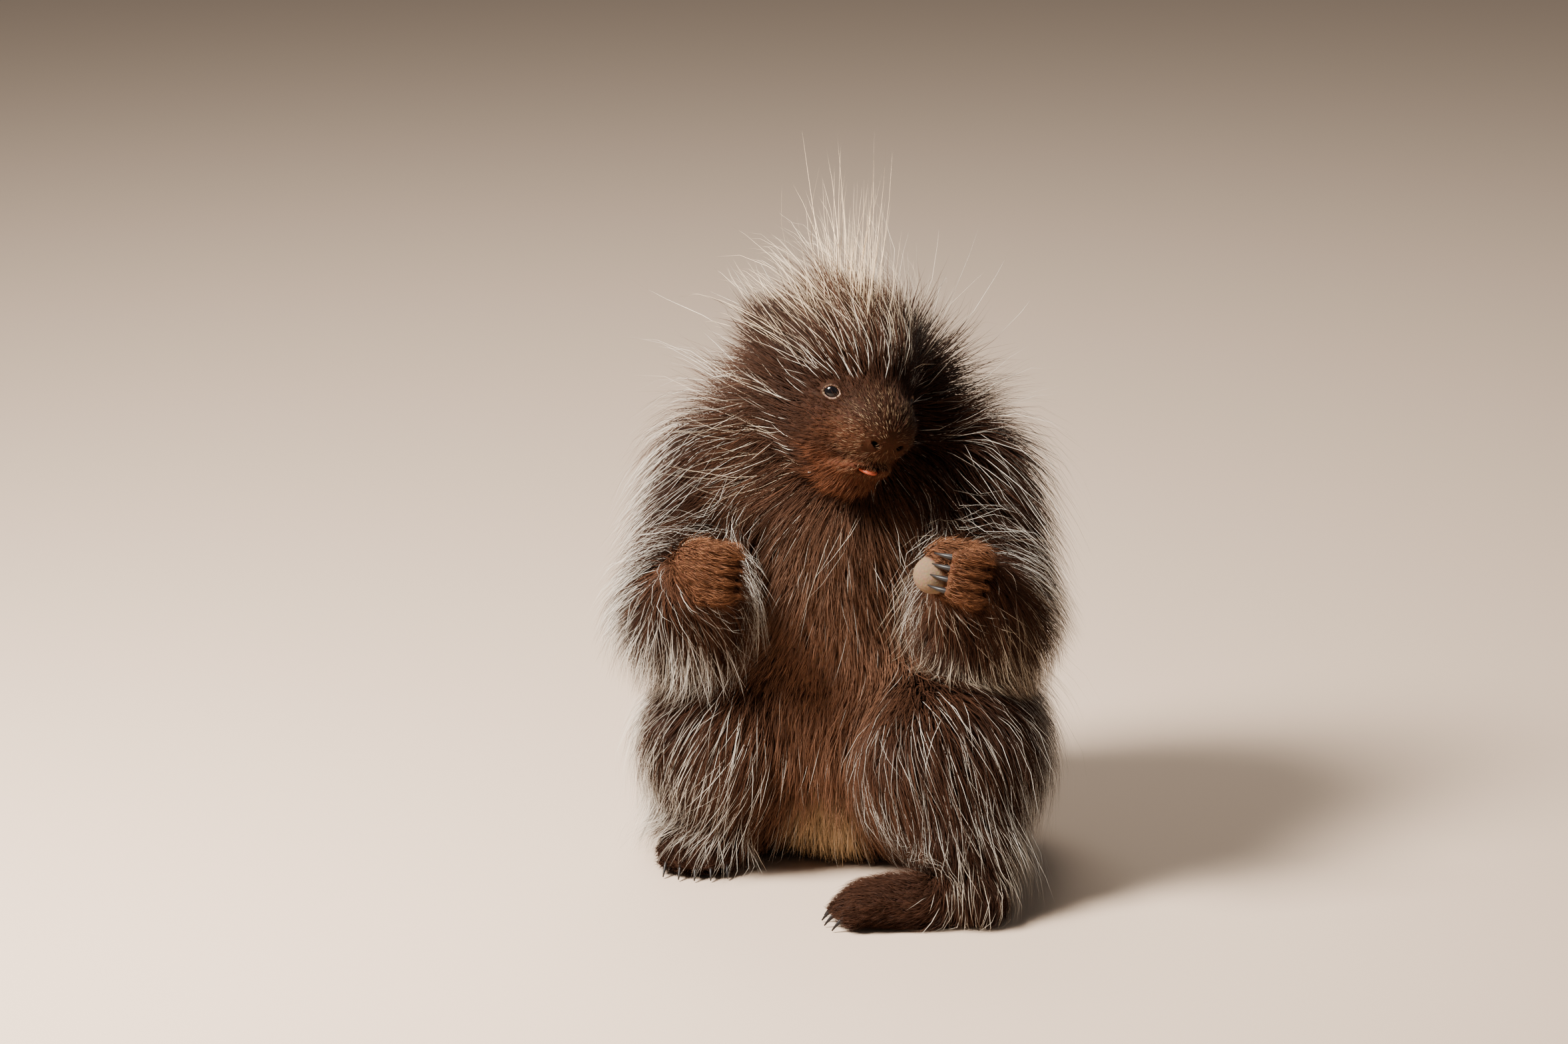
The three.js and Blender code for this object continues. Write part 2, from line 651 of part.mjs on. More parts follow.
// Whether a solid comes nearer than the gap to any of the other nodes.
const LOCK_GAP = GAP + 0.05;
const SEARCH = LOCK_GAP + 0.1; // how far the nearest point is looked for
function crowds(others, solid) {
  const mine = solid.boundingBox();
  return others.some(({ held, box }) => {
    const apart = [0, 1, 2].some(
      (k) => mine.min[k] > box.max[k] + LOCK_GAP || mine.max[k] < box.min[k] - LOCK_GAP,
    );
    return !apart && solid.minGap(held, SEARCH) < LOCK_GAP;
  });
}

// The ways in which a lock is tried again where it would touch another node: steeper, then shorter.
const TRIES = [
  { steeper: 0, share: 1 },
  { steeper: 9, share: 1 },
  { steeper: 18, share: 0.9 },
  { steeper: 4, share: 0.7 },
  { steeper: 22, share: 0.65 },
];

// Grows a coat of locks over one node, from roots spread evenly over the part of it that grows them.
const SPREAD_DETAIL = 14;
const STRAY = { length: 0.14, width: 0.12, lean: 0.06, turn: 8 * DEGREE };
const spread = new THREE.IcosahedronGeometry(1, SPREAD_DETAIL);
spread.deleteAttribute("normal").deleteAttribute("uv");
const spreadPlaces = mergeVertices(spread).attributes.position;
function growLocks(name, skin, centre, coat, lie, grows, form = coat.locks) {
  const others = [...nodes].filter(([other]) => other !== name);
  const held = others.map(([, solid]) => ({ held: solid, box: solid.boundingBox() }));
  const order = Array.from({ length: spreadPlaces.count }, (_, i) => ({ i, draw: chance() }));
  order.sort((a, b) => a.draw - b.draw);
  const roots = [];
  const grown = [];
  for (const { i } of order) {
    if (form.count && grown.length >= form.count) break;
    const way = at(0, 0, 0).fromBufferAttribute(spreadPlaces, i);
    const surface = castTo(skin, centre, way, coat.core);
    if (!grows(surface) || roots.some((root) => root.distanceTo(surface) < form.spacing)) continue;
    const out = outward(allSkin, surface);
    const root = surface.clone().addScaledVector(out, -ROOT_DEPTH);
    const size = stray(STRAY.length);
    const draw = {
      width: form.width * stray(STRAY.width),
      depth: form.depth ?? 1,
      rise: form.rise ?? 0,
      rings: form.rings ?? BLADE.rings,
      turn: STRAY.turn * (2 * chance() - 1),
      lean: stray(STRAY.lean),
    };
    const lock = TRIES.reduce((found, { steeper, share }) => {
      if (found) return found;
      draw.length = form.length * size * share;
      draw.lift = (form.lift + steeper) * draw.lean;
      draw.settle = (form.settle + steeper) * draw.lean;
      const tried = blade(root, lie, draw);
      return crowds(held, tried) ? null : tried;
    }, null);
    if (!lock) continue;
    roots.push(surface);
    grown.push(lock);
  }
  const coated = nodes.get(name).add(wasm.Manifold.union(grown));
  nodes.set(name, whole(coated.subtract(below)));
}

// The coats, from the lowest parts up, so that each lies over what is below it.
THREE.MathUtils.seededRandom(SEED);
const always = () => true;
const grow = (part, skin, centre, grows, side) => {
  const name = side ? `${part}_${side.name}` : part;
  return growLocks(name, skin, centre, COAT[part], (p) => lieOf[part](p, side), grows);
};
const offFloor = (p) => p.z > LOWEST_LEG_LOCK;
grow("tail", tailSkin, TAIL.middle, (p) => p.z > LOWEST_TAIL_LOCK);
for (const side of SIDES) {
  const skin = limbSkin(side);
  grow("shank", skin.shank, mixed(side.knee, side.ankle, 0.5), offFloor, side);
  grow("thigh", skin.thigh, mixed(side.hip, side.knee, 0.5), offFloor, side);
}
const onBelly = (p) => p.y < BELLY.back && Math.abs(p.x) < BELLY.halfWidth;
const furredTorso = (p) => p.z > LOWEST_TORSO_LOCK && !onBelly(p);
grow("torso", torsoSkin, TRUNK.middle, furredTorso);
for (const side of SIDES) {
  const skin = limbSkin(side);
  grow("forearm", skin.forearm, mixed(side.elbow, side.wrist, 0.5), always, side);
  grow("upper_arm", skin.upper_arm, mixed(side.shoulder, side.elbow, 0.5), always, side);
}
grow("neck", neckSkin, NECK.middle, always);

// The crown's coat starts above the eyes, and the crest stands up from the middle of it.
const CROWN = { forward: 13, brow: 9, slope: 0.9, reach: 10 };
const CREST_PATCH = { up: 8, back: -36, forward: 2, side: -3, halfWidth: 12 };
function onHeadAxes(p) {
  const local = p.clone().sub(HEAD_CENTRE);
  return { forward: local.dot(HEAD_AXES.x), side: local.dot(HEAD_AXES.y), up: local.dot(HEAD_AXES.z) };
}
const onCrown = (p) => {
  const { forward, up } = onHeadAxes(p);
  return forward < CROWN.forward && up > CROWN.brow - CROWN.slope * (CROWN.reach - forward);
};
const onCrest = (p) => {
  const { forward, side, up } = onHeadAxes(p);
  const inLength = forward > CREST_PATCH.back && forward < CREST_PATCH.forward;
  return inLength && up > CREST_PATCH.up && Math.abs(side - CREST_PATCH.side) < CREST_PATCH.halfWidth;
};
grow("head", headSkin, HEAD.middle, onCrown);
growLocks("head", headSkin, HEAD.middle, COAT.head, lieOf.head, onCrest, CREST);

// The finish of each kind of node, by the start of its name.
const FINISHES = {
  claw: { color: 0x1d1b1c, roughness: 0.35 },
  eye: { color: 0x0b0a0c, roughness: 0.05 },
  tongue: { color: 0xb5452e, roughness: 0.4 },
};
const COAT_FINISH = { color: 0x3a2a22, roughness: 0.85 };
function materialOf(name) {
  const kind = name.split("_")[0];
  return new THREE.MeshStandardMaterial(FINISHES[kind] ?? COAT_FINISH);
}

const porcupine = new THREE.Group();
for (const [name, solid] of nodes) {
  const mesh = new THREE.Mesh(geometryOf(solid), materialOf(name));
  mesh.name = name;
  porcupine.add(mesh);
}

export default porcupine;
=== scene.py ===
"""A young North American porcupine sitting up on its haunches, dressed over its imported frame.

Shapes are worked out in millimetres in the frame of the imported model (+Z up, the animal faces -Y with its
left side on +X) and turned into metres where a mesh is made.
"""

import enum
import logging
import math
from collections.abc import Callable
from dataclasses import dataclass, field, replace

import bmesh
import bpy
import numpy as np
import openvdb
from mathutils import Matrix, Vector
from mathutils.kdtree import KDTree


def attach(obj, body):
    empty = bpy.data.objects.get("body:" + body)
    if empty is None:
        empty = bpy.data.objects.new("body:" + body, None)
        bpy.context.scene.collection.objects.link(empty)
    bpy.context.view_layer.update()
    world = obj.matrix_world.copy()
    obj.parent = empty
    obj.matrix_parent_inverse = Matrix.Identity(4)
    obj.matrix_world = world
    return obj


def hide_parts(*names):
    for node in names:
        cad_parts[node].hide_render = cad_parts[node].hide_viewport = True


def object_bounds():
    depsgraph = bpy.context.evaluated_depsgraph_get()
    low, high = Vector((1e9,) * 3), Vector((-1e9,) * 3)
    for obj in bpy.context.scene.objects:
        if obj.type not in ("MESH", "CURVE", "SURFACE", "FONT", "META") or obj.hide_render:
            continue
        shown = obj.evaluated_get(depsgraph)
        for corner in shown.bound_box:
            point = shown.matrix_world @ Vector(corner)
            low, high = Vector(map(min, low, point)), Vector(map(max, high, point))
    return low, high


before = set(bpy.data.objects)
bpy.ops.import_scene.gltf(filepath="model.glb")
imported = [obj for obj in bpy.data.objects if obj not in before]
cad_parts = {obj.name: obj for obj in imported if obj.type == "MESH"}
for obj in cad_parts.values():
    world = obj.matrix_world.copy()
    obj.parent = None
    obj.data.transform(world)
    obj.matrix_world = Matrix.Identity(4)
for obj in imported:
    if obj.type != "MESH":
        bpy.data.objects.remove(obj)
CAD_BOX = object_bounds()

LOG = logging.getLogger("porcupine")
MM = 0.001
DEGREE = math.radians(1)
SEED = 71
FLOOR_CLEARANCE = 0.4  # the skin's flats stay this far above the floor
HAIR_CLEARANCE = 0.9  # and the middle of a hair this far
BOX_MARGIN = 0.02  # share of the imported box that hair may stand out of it

Array = np.ndarray
Shape = Callable[[Array], Array]


def vector(*values: float) -> Array:
    """A point or direction as an array."""
    return np.array(values, dtype=float)


def unit(v: Array) -> Array:
    """Vectors scaled to length one along their last axis."""
    return v / np.maximum(np.linalg.norm(v, axis=-1, keepdims=True), 1e-9)


def ramp(value: Array, start: float, end: float) -> Array:
    """A smooth share from 0 at start to 1 at end.

    Args:
        value: Numbers to judge.
        start: Where the share leaves 0.
        end: Where it reaches 1, which may lie below start.

    Returns:
        The share at each value.
    """
    share = np.clip((value - start) / (end - start), 0.0, 1.0)
    return share * share * (3.0 - 2.0 * share)


def away_from(place: Array, points: Array) -> Array:
    """How far points are from one place."""
    return np.linalg.norm(points - place, axis=-1)


def mixed(a: Array, b: Array, share: Array | float) -> Array:
    """Part of the way from one value to another."""
    return a + (b - a) * share


FAR = 60.0  # distance given to points that are nowhere near a small shape
BODY_AXES = np.eye(3)
UP = vector(0, 0, 1)
DOWN = vector(0, 0, -1)


# Distances to shapes. Each is below zero inside its shape.


def ellipsoid(centre: Array, radii: tuple[float, float, float], axes: Array = BODY_AXES) -> Shape:
    """A ball squashed along three axes.

    Args:
        centre: Its middle.
        radii: Its three radii.
        axes: The three axes as rows.

    Returns:
        The distance to its surface.
    """
    sizes = np.array(radii, dtype=float)

    def distance(p: Array) -> Array:
        """Distance at each point.

        Args:
            p: The points.

        Returns:
            One distance for each.
        """
        scaled = ((p - centre) @ axes.T) / sizes
        size = np.linalg.norm(scaled, axis=-1)
        slope = np.linalg.norm(scaled / sizes, axis=-1)
        return size * (size - 1.0) / np.maximum(slope, 1e-6)

    return distance


def bar(start: Array, start_radius: float, end: Array, end_radius: float) -> Shape:
    """A rounded bar whose radius changes evenly from one end to the other.

    Args:
        start: Middle of its first end.
        start_radius: Radius there.
        end: Middle of its last end.
        end_radius: Radius there.

    Returns:
        The distance to its surface.
    """
    axis = end - start
    squared = float(axis @ axis)

    def distance(p: Array) -> Array:
        """Distance at each point.

        Args:
            p: The points.

        Returns:
            One distance for each.
        """
        share = np.clip(((p - start) @ axis) / squared, 0.0, 1.0)
        away = np.linalg.norm(p - start - share[..., None] * axis, axis=-1)
        return away - start_radius - share * (end_radius - start_radius)

    return distance


def chain(path: Array, start_radius: float, end_radius: float) -> list[Shape]:
    """Rounded bars laid end to end along a path, with a radius that changes evenly on the way."""
    radii = np.linspace(start_radius, end_radius, len(path))
    return [bar(a, ra, b, rb) for a, ra, b, rb in zip(path, radii, path[1:], radii[1:])]


def blended(blend: float, *shapes: Shape) -> Shape:
    """Several shapes that run into one another over a fillet of about the blend's width.

    Args:
        blend: Width of the rounding.
        shapes: The shapes.

    Returns:
        The distance to the surface of all of them together.
    """

    def distance(p: Array) -> Array:
        """Distance at each point.

        Args:
            p: The points.

        Returns:
            One distance for each.
        """
        near = shapes[0](p)
        for shape in shapes[1:]:
            other = shape(p)
            share = np.clip(0.5 + 0.5 * (near - other) / blend, 0.0, 1.0)
            near = near + share * (other - near) - blend * share * (1.0 - share)
        return near

    return distance


def carved(blend: float, solid: Shape, *cutters: Shape) -> Shape:
    """A shape less some others, with edges rounded over about the blend's width.

    Args:
        blend: Width of the rounding.
        solid: The shape that is cut.
        cutters: What is cut away from it.

    Returns:
        The distance to the surface that is left.
    """

    def distance(p: Array) -> Array:
        """Distance at each point.

        Args:
            p: The points.

        Returns:
            One distance for each.
        """
        far = solid(p)
        for cutter in cutters:
            other = -cutter(p)
            share = np.clip(0.5 - 0.5 * (far - other) / blend, 0.0, 1.0)
            far = far + share * (other - far) + blend * share * (1.0 - share)
        return far

    return distance


def bounded(shape: Shape, centre: Array, reach: float) -> Shape:
    """A shape that is only worked out near its place and counts as far away elsewhere.

    Args:
        shape: The shape.
        centre: The middle of its place.
        reach: How far round the middle it is worked out.

    Returns:
        The distance, which is true near the middle only.
    """

    def distance(p: Array) -> Array:
        """Distance at each point.

        Args:
            p: The points.

        Returns:
            One distance for each.
        """
        found = np.full(p.shape[:-1], FAR)
        near = ((p - centre) ** 2).sum(axis=-1) < reach * reach
        if near.any():
            found[near] = shape(p[near])
        return found

    return distance


def outward(shape: Shape, p: Array, reach: float = 0.5) -> Array:
    """The direction in which a distance grows fastest at each point."""
    slopes = [shape(p + reach * axis) - shape(p - reach * axis) for axis in BODY_AXES]
    return unit(np.stack(slopes, axis=-1))


def arch(start: Array, bend: Array, end: Array, steps: int) -> Array:
    """Points along a curve that leaves start towards bend and comes to end from it."""
    t = np.linspace(0.0, 1.0, steps + 1)[:, None]
    return (1 - t) ** 2 * start + 2 * t * (1 - t) * bend + t**2 * end


def direction(azimuth: float, elevation: float) -> Array:
    """The way from the animal to a place round it, by angles from its front and above level."""
    level = math.cos(elevation)
    return vector(math.sin(azimuth) * level, -math.cos(azimuth) * level, math.sin(elevation))


class Part(enum.Enum):
    """The named parts of the body that carry skin."""

    HEAD = "head"
    EAR = "ear"
    NECK = "neck"
    TORSO = "torso"
    TAIL = "tail"
    UPPER_ARM = "upper_arm"
    FOREARM = "forearm"
    FOREPAW = "forepaw"
    THIGH = "thigh"
    SHANK = "shank"
    HIND_FOOT = "hind_foot"


TOE_REACH = 15.0  # of the middle toe of a hind foot, past the end of its sole
TOE_ROUNDING = 1.1  # by which the outer toes end further back
TOE_SPREAD = 6.4  # between the ends of two toes


@dataclass(frozen=True)
class Side:
    """The joints of one side of the body, from which its limbs are laid out."""

    name: str
    sign: int
    shoulder: Array
    elbow: Array
    wrist: Array
    paw: Array
    hip: Array
    knee: Array
    knee_radius: float
    ankle: Array
    heel: Array
    toes: Array
    knuckles: Array
    back_of_fist: Array

    def fist_axes(self) -> Array:
        """Ways along the knuckles, across the toes and out of the fist's back, as rows.

        Returns:
            The three axes.
        """
        x = unit(self.knuckles)
        z = unit(np.cross(np.cross(x, self.back_of_fist), x))
        return np.stack([x, np.cross(z, x), z])

    def foot_axes(self) -> Array:
        """Ways along the foot, across it and up, as rows."""
        along = unit((self.toes - self.heel) * vector(1, 1, 0))
        return np.stack([along, vector(-along[1], along[0], 0), UP])

    def in_fist(self, x: float, y: float, z: float) -> Array:
        """A point given along the fist's axes from its middle."""
        return self.paw + vector(x, y, z) @ self.fist_axes()

    def toe_end(self, place: int) -> Array:
        """The end of one toe of the hind foot, numbered to both sides from the middle one."""
        reach = TOE_REACH - TOE_ROUNDING * place * place
        return self.toes + vector(reach, place * TOE_SPREAD, -1.5) @ self.foot_axes()


LEFT = Side(
    "left",
    1,
    shoulder=vector(50, -4, 172),
    elbow=vector(66, -40, 114),
    wrist=vector(64, -77, 149),
    paw=vector(59.5, -88, 155),
    hip=vector(38, 10, 50),
    knee=vector(52, -58, 62),
    knee_radius=31.0,
    ankle=vector(67, -86, 22),
    heel=vector(72, -100, 11),
    toes=vector(30, -107, 8),
    knuckles=vector(0.875, -0.353, -0.1),
    back_of_fist=vector(0.353, 0.875, -0.2),
)
RIGHT = Side(
    "right",
    -1,
    shoulder=vector(-52, -4, 174),
    elbow=vector(-66, -42, 114),
    wrist=vector(-57, -76, 143),
    paw=vector(-53, -87, 150),
    hip=vector(-36, 14, 50),
    knee=vector(-54, -38, 58),
    knee_radius=25.0,
    ankle=vector(-60, -22, 22),
    heel=vector(-64, -4, 11),
    toes=vector(-61, -42, 8),
    knuckles=vector(0.924, -0.345, -0.05),
    back_of_fist=vector(-0.345, -0.924, 0.15),
)
SIDES = (LEFT, RIGHT)


@dataclass(frozen=True)
class HeadFrame:
    """Where the head is and how it is turned: x forward along the muzzle, y to its left, z up."""

    centre: Array = field(default_factory=lambda: vector(6.6, -43.3, 222))
    turn: float = math.radians(40)
    nod: float = math.radians(10)
    tilt: float = math.radians(15)

    def axes(self) -> Array:
        """The head's three axes as rows.

        Returns:
            The three axes.
        """
        z, y, x = self.turn - math.pi / 2, self.nod, -self.tilt
        about_z = np.array([[math.cos(z), -math.sin(z), 0], [math.sin(z), math.cos(z), 0], [0, 0, 1]])
        about_y = np.array([[math.cos(y), 0, math.sin(y)], [0, 1, 0], [-math.sin(y), 0, math.cos(y)]])
        about_x = np.array([[1, 0, 0], [0, math.cos(x), -math.sin(x)], [0, math.sin(x), math.cos(x)]])
        return (about_z @ about_y @ about_x).T

    def at(self, forward: float, left: float, up: float) -> Array:
        """A point given along the head's axes from its middle."""
        return self.centre + vector(forward, left, up) @ self.axes()

    def beside(self, place: tuple[float, float, float], sign: int) -> Array:
        """A place given for the head's left side, where sign is 1, or its mirror image, where it is -1."""
        forward, left, up = place
        return self.at(forward, sign * left, up)

    def local(self, p: Array) -> Array:
        """Points of the body given along the head's axes."""
        return (p - self.centre) @ self.axes().T


HEAD = HeadFrame()
HEAD_AXES = HEAD.axes()


@dataclass(frozen=True)
class Face:
    """Places and sizes of what the face carries, along the head's axes."""

    eye: tuple[float, float, float] = (13, 18.6, 2.2)
    eye_radius: float = 4.8
    eye_ahead: float = 1.25
    eye_raised: float = 0.25
    eye_slant: float = math.radians(8)
    lid: float = 1.05
    opening: tuple[float, float] = (3.6, 2.55)
    opening_ahead: float = 5.0
    opening_depth: float = 4.5
    nostril: tuple[float, float, float] = (37.5, 6.1, -11)
    nostril_hole: tuple[float, float, float] = (2.6, 1.15, 4.5)
    nostril_rim: tuple[float, float, float] = (3.9, 2.6, 3)
    rim_back: float = 1.5
    mouth: tuple[float, float] = (19, -28)
    mouth_rise: float = math.radians(18)
    lips: tuple[float, float, float] = (18.6, 15, 4.5)
    line_between: tuple[float, float, float] = (12, 7.5, 0.4)
    line_ahead: float = 9.0
    gap: tuple[float, float, float] = (32, -1, -24.6)
    gap_radii: tuple[float, float, float] = (7, 6, 1.9)
    mouth_reach: float = 26.0
    tongue: tuple[float, float, float] = (30, -1, -25)
    ear: tuple[float, float, float] = (-19, 24, 9)
    ear_cup: tuple[float, float, float] = (11.5, 4.8, 10)
    ear_hollow: tuple[float, float, float] = (9, 5.2, 7.6)

    def eye_centre(self, sign: int) -> Array:
        """Middle of one eye."""
        return HEAD.beside(self.eye, sign)

    def nostril_rim_centre(self, sign: int) -> Array:
        """Middle of the raised rim round one nostril."""
        forward, left, up = self.nostril
        return HEAD.beside((forward - self.rim_back, left, up), sign)

    def ear_centre(self, sign: int) -> Array:
        """Middle of one ear."""
        return HEAD.beside(self.ear, sign)

    def mouth_centre(self) -> Array:
        """Middle of the mouth."""
        return HEAD.at(self.mouth[0], 0, self.mouth[1])

    def near_mouth(self, shape: Shape) -> Shape:
        """A shape that is only worked out round the mouth."""
        return bounded(shape, self.mouth_centre(), self.mouth_reach)

    def eye_axes(self, sign: int) -> Array:
        """Ways across, up and out of one eye, as rows.

        Args:
            sign: 1 for the left one and -1 for the right one.

        Returns:
            The three axes.
        """
        look = unit(sign * HEAD_AXES[1] + self.eye_ahead * HEAD_AXES[0] + self.eye_raised * HEAD_AXES[2])
        level = unit(np.cross(HEAD_AXES[2], look))
        slanted = math.cos(self.eye_slant) * level - sign * math.sin(self.eye_slant) * np.cross(look, level)
        return np.stack([slanted, np.cross(look, slanted), look])

    def almond(self, sign: int) -> Shape:
        """The opening between the lids of one eye, pointed at both corners.

        Args:
            sign: Which eye, 1 for the left one and -1 for the right one.

        Returns:
            The distance to two balls' common part, which runs out along the way that the eye looks.
        """
        half_length, half_height = self.opening
        offset = 0.5 * (half_length**2 / half_height - half_height)
        radius = half_height + offset
        axes = self.eye_axes(sign)
        middle = self.eye_centre(sign) + self.opening_ahead * axes[2]
        radii = (radius, radius, self.opening_depth)
        upper, lower = (ellipsoid(middle + way * offset * axes[1], radii, axes) for way in (1, -1))
        return lambda p: np.maximum(upper(p), lower(p))

    def ear_axes(self, sign: int) -> Array:
        """Ways along one ear, out of its opening and across it, as rows.

        Args:
            sign: 1 for the left one and -1 for the right one.

        Returns:
            The three axes.
        """
        out = sign * HEAD_AXES[1]
        back = unit(out - 0.9 * HEAD_AXES[0] + 0.35 * HEAD_AXES[2])
        front = unit(-np.cross(np.cross(out, back), back))
        return np.stack([back, front, np.cross(back, front)])

    def mouth_form(self, length: float, width: float, depth: float, ahead: float = 0.0) -> Shape:
        """A flat ball laid along the parted lips, moved ahead along them.

        Args:
            length: Radius along the lips.
            width: Radius across the head.
            depth: Radius at right angles to both.
            ahead: How far it is moved ahead.

        Returns:
            The distance to its surface.
        """
        x = math.cos(self.mouth_rise) * HEAD_AXES[0] + math.sin(self.mouth_rise) * HEAD_AXES[2]
        axes = np.stack([x, HEAD_AXES[1], np.cross(x, HEAD_AXES[1])])
        return ellipsoid(self.mouth_centre() + ahead * x, (length, width, depth), axes)

    def slit(self) -> Shape:
        """The thin opening between the lips, which only reaches round the front of the muzzle."""
        return self.mouth_form(*self.line_between, ahead=self.line_ahead)


FACE = Face()


@dataclass(frozen=True)
class Form:
    """One rounded mass of the body: the place of its middle, and its radii."""

    centre: tuple[float, float, float]
    radii: tuple[float, float, float]

    def on_body(self) -> Shape:
        """The mass in the body's own frame."""
        return ellipsoid(vector(*self.centre), self.radii)

    def on_head(self, sign: int = 1) -> Shape:
        """The mass laid along the head's axes, or its mirror image, where sign is -1."""
        return ellipsoid(HEAD.beside(self.centre, sign), self.radii, HEAD_AXES)


@dataclass
class Body:
    """The skin of every part as distances, smooth for the lie of the coat and detailed for the surface."""

    rump: Form = Form((0, 6, 70), (57, 56, 74))
    back: Form = Form((0, 24, 112), (50, 46, 80))
    chest: Form = Form((0, -4, 140), (49, 44, 56))
    shoulders: Form = Form((0, 8, 176), (50, 38, 32))
    cranium: Form = Form((-8, 0, 1), (31, 27, 24))
    cheek: Form = Form((5, 14, -13), (19, 14, 18))
    snout: Form = Form((26.5, 0, -8), (12.5, 17, 13.5))
    chin: Form = Form((12, 0, -31), (16, 15, 9))
    bridge_radii: tuple[float, float] = (19, 14)
    neck_radii: tuple[float, float] = (39, 29)
    upper_arm_radii: tuple[float, float] = (23, 17)
    forearm_radii: tuple[float, float] = (16, 10.5)
    hip_radius: float = 38.0
    thigh_radii: tuple[float, float, float] = (28, 42, 44)
    shank_radii: tuple[float, float, float] = (21, 13, 9.5)
    tail_radii: tuple[float, float, float] = (19, 15, 8)
    paw_radii: tuple[float, float, float] = (12, 12.5, 8.5)
    palm_radii: tuple[float, float, float] = (8, 10, 6)
    pad_radii: tuple[float, float, float] = (8, 8, 6.2)
    curled_toe_radii: tuple[float, float] = (4.6, 2.9)
    sole_radii: tuple[float, float] = (10.2, 9.6)
    ball_radii: tuple[float, float, float] = (20, 14.5, 10)
    hind_toe_radii: tuple[float, float] = (5.2, 4.4)
    torso_blend: float = 22.0
    haunch_blend: float = 24.0
    body_blend: float = 8.0
    end_blend: float = 3.0
    tail_root: Array = field(default_factory=lambda: vector(0, 50, 30))
    tail_middle: Array = field(default_factory=lambda: vector(-14, 106, 17))
    tail_tip: Array = field(default_factory=lambda: vector(-36, 152, 11))

    def torso(self) -> Shape:
        """Rump, back, chest and shoulders."""
        forms = (self.rump, self.back, self.chest, self.shoulders)
        return blended(self.torso_blend, *(form.on_body() for form in forms))

    def neck(self) -> Shape:
        """The short thick neck."""
        low, high = vector(1, -5, 195), vector(-5, -24, 216)
        return bar(low, self.neck_radii[0], high, self.neck_radii[1])

    def tail(self) -> Shape:
        """The blunt tail laid on the floor.

        Returns:
            The distance to its surface.
        """
        root, middle, tip = self.tail_radii
        return blended(
            12,
            bar(self.tail_root, root, self.tail_middle, middle),
            bar(self.tail_middle, middle, self.tail_tip, tip),
        )

    def head(self) -> Shape:
        """Cranium, cheeks, bridge, blunt snout and chin.

        Returns:
            The distance to its surface.
        """
        brow, bridge = HEAD.at(6, 0, -1), HEAD.at(24, 0, -5)
        return blended(
            9,
            self.cranium.on_head(),
            self.cheek.on_head(1),
            self.cheek.on_head(-1),
            bar(brow, self.bridge_radii[0], bridge, self.bridge_radii[1]),
            self.snout.on_head(),
            self.chin.on_head(),
        )

    def lipped_head(self) -> Shape:
        """The head with its lips standing a little out of the muzzle."""
        return blended(2.5, self.head(), FACE.near_mouth(FACE.mouth_form(*FACE.lips)))

    def limb(self, side: Side, part: Part) -> Shape:
        """One length of a limb.

        Args:
            side: The side that it is on.
            part: Which length.

        Returns:
            The distance to its skin.
        """
        if part is Part.UPPER_ARM:
            start, end = self.upper_arm_radii
            return bar(side.shoulder, start, side.elbow, end)
        if part is Part.FOREARM:
            start, end = self.forearm_radii
            return bar(side.elbow, start, side.wrist, end)
        if part is Part.SHANK:
            knee, ankle, heel = self.shank_radii
            shin = bar(side.knee, knee, side.ankle, ankle)
            return blended(6, shin, bar(side.ankle, ankle, side.heel, heel))
        middle = ellipsoid(mixed(side.hip, side.knee, 0.5), self.thigh_radii)
        return blended(14, bar(side.hip, self.hip_radius, side.knee, side.knee_radius), middle)

    def fist(self, side: Side) -> Shape:
        """A raised forepaw with its four curled toes and palm pads.

        Args:
            side: The side that it is on.

        Returns:
            The distance to its surface.
        """
        axes = side.fist_axes()
        back = ellipsoid(side.paw, self.paw_radii, axes)
        palm = ellipsoid(side.in_fist(-4, 0, -6), self.palm_radii, axes)
        toes = []
        for place in FIST_ROWS:
            row = place * FIST_ROW
            knuckle, bend = side.in_fist(5, row, 3), side.in_fist(20, row, -2)
            path = arch(knuckle, bend, side.in_fist(7, row * 0.9, -12.5), 4)
            toes += chain(path, *self.curled_toe_radii)
        return blended(1.6, blended(5, back, palm), *toes, self.pad(side))

    def pad(self, side: Side) -> Shape:
        """The bare dome at the heel of a forepaw's palm."""
        return ellipsoid(side.in_fist(-6.5, 3.5, -8), self.pad_radii, side.fist_axes())

    def foot(self, side: Side) -> Shape:
        """A hind foot with its sole and five toes.

        Args:
            side: The side that it is on.

        Returns:
            The distance to its surface.
        """
        axes = side.foot_axes()
        heel_radius, toe_radius = self.sole_radii
        sole = blended(
            8,
            bar(side.heel, heel_radius, side.toes, toe_radius),
            ellipsoid(mixed(side.heel, side.toes, 0.75), self.ball_radii, axes),
        )
        toes = []
        for place in FOOT_TOES:
            start, end = side.toes + vector(-4, place * 5.2, 1) @ axes, side.toe_end(place)
            bend = mixed(start, end, 0.7) + 5.5 * UP
            toes += chain(arch(start, bend, end, 3), *self.hind_toe_radii)
        return blended(1.8, sole, *toes)

    def parts(self) -> list[tuple[Part, Side | None, Shape]]:
        """Every part with its side, where it has one, and its smooth shape.

        Returns:
            One row for each part.
        """
        found: list[tuple[Part, Side | None, Shape]] = [
            (Part.HEAD, None, self.head()),
            (Part.NECK, None, self.neck()),
            (Part.TORSO, None, self.torso()),
            (Part.TAIL, None, self.tail()),
        ]
        for side in SIDES:
            found += [(part, side, self.limb(side, part)) for part in LIMB_PARTS]
            found.append((Part.FOREPAW, side, self.fist(side)))
            found.append((Part.HIND_FOOT, side, self.foot(side)))
        return found

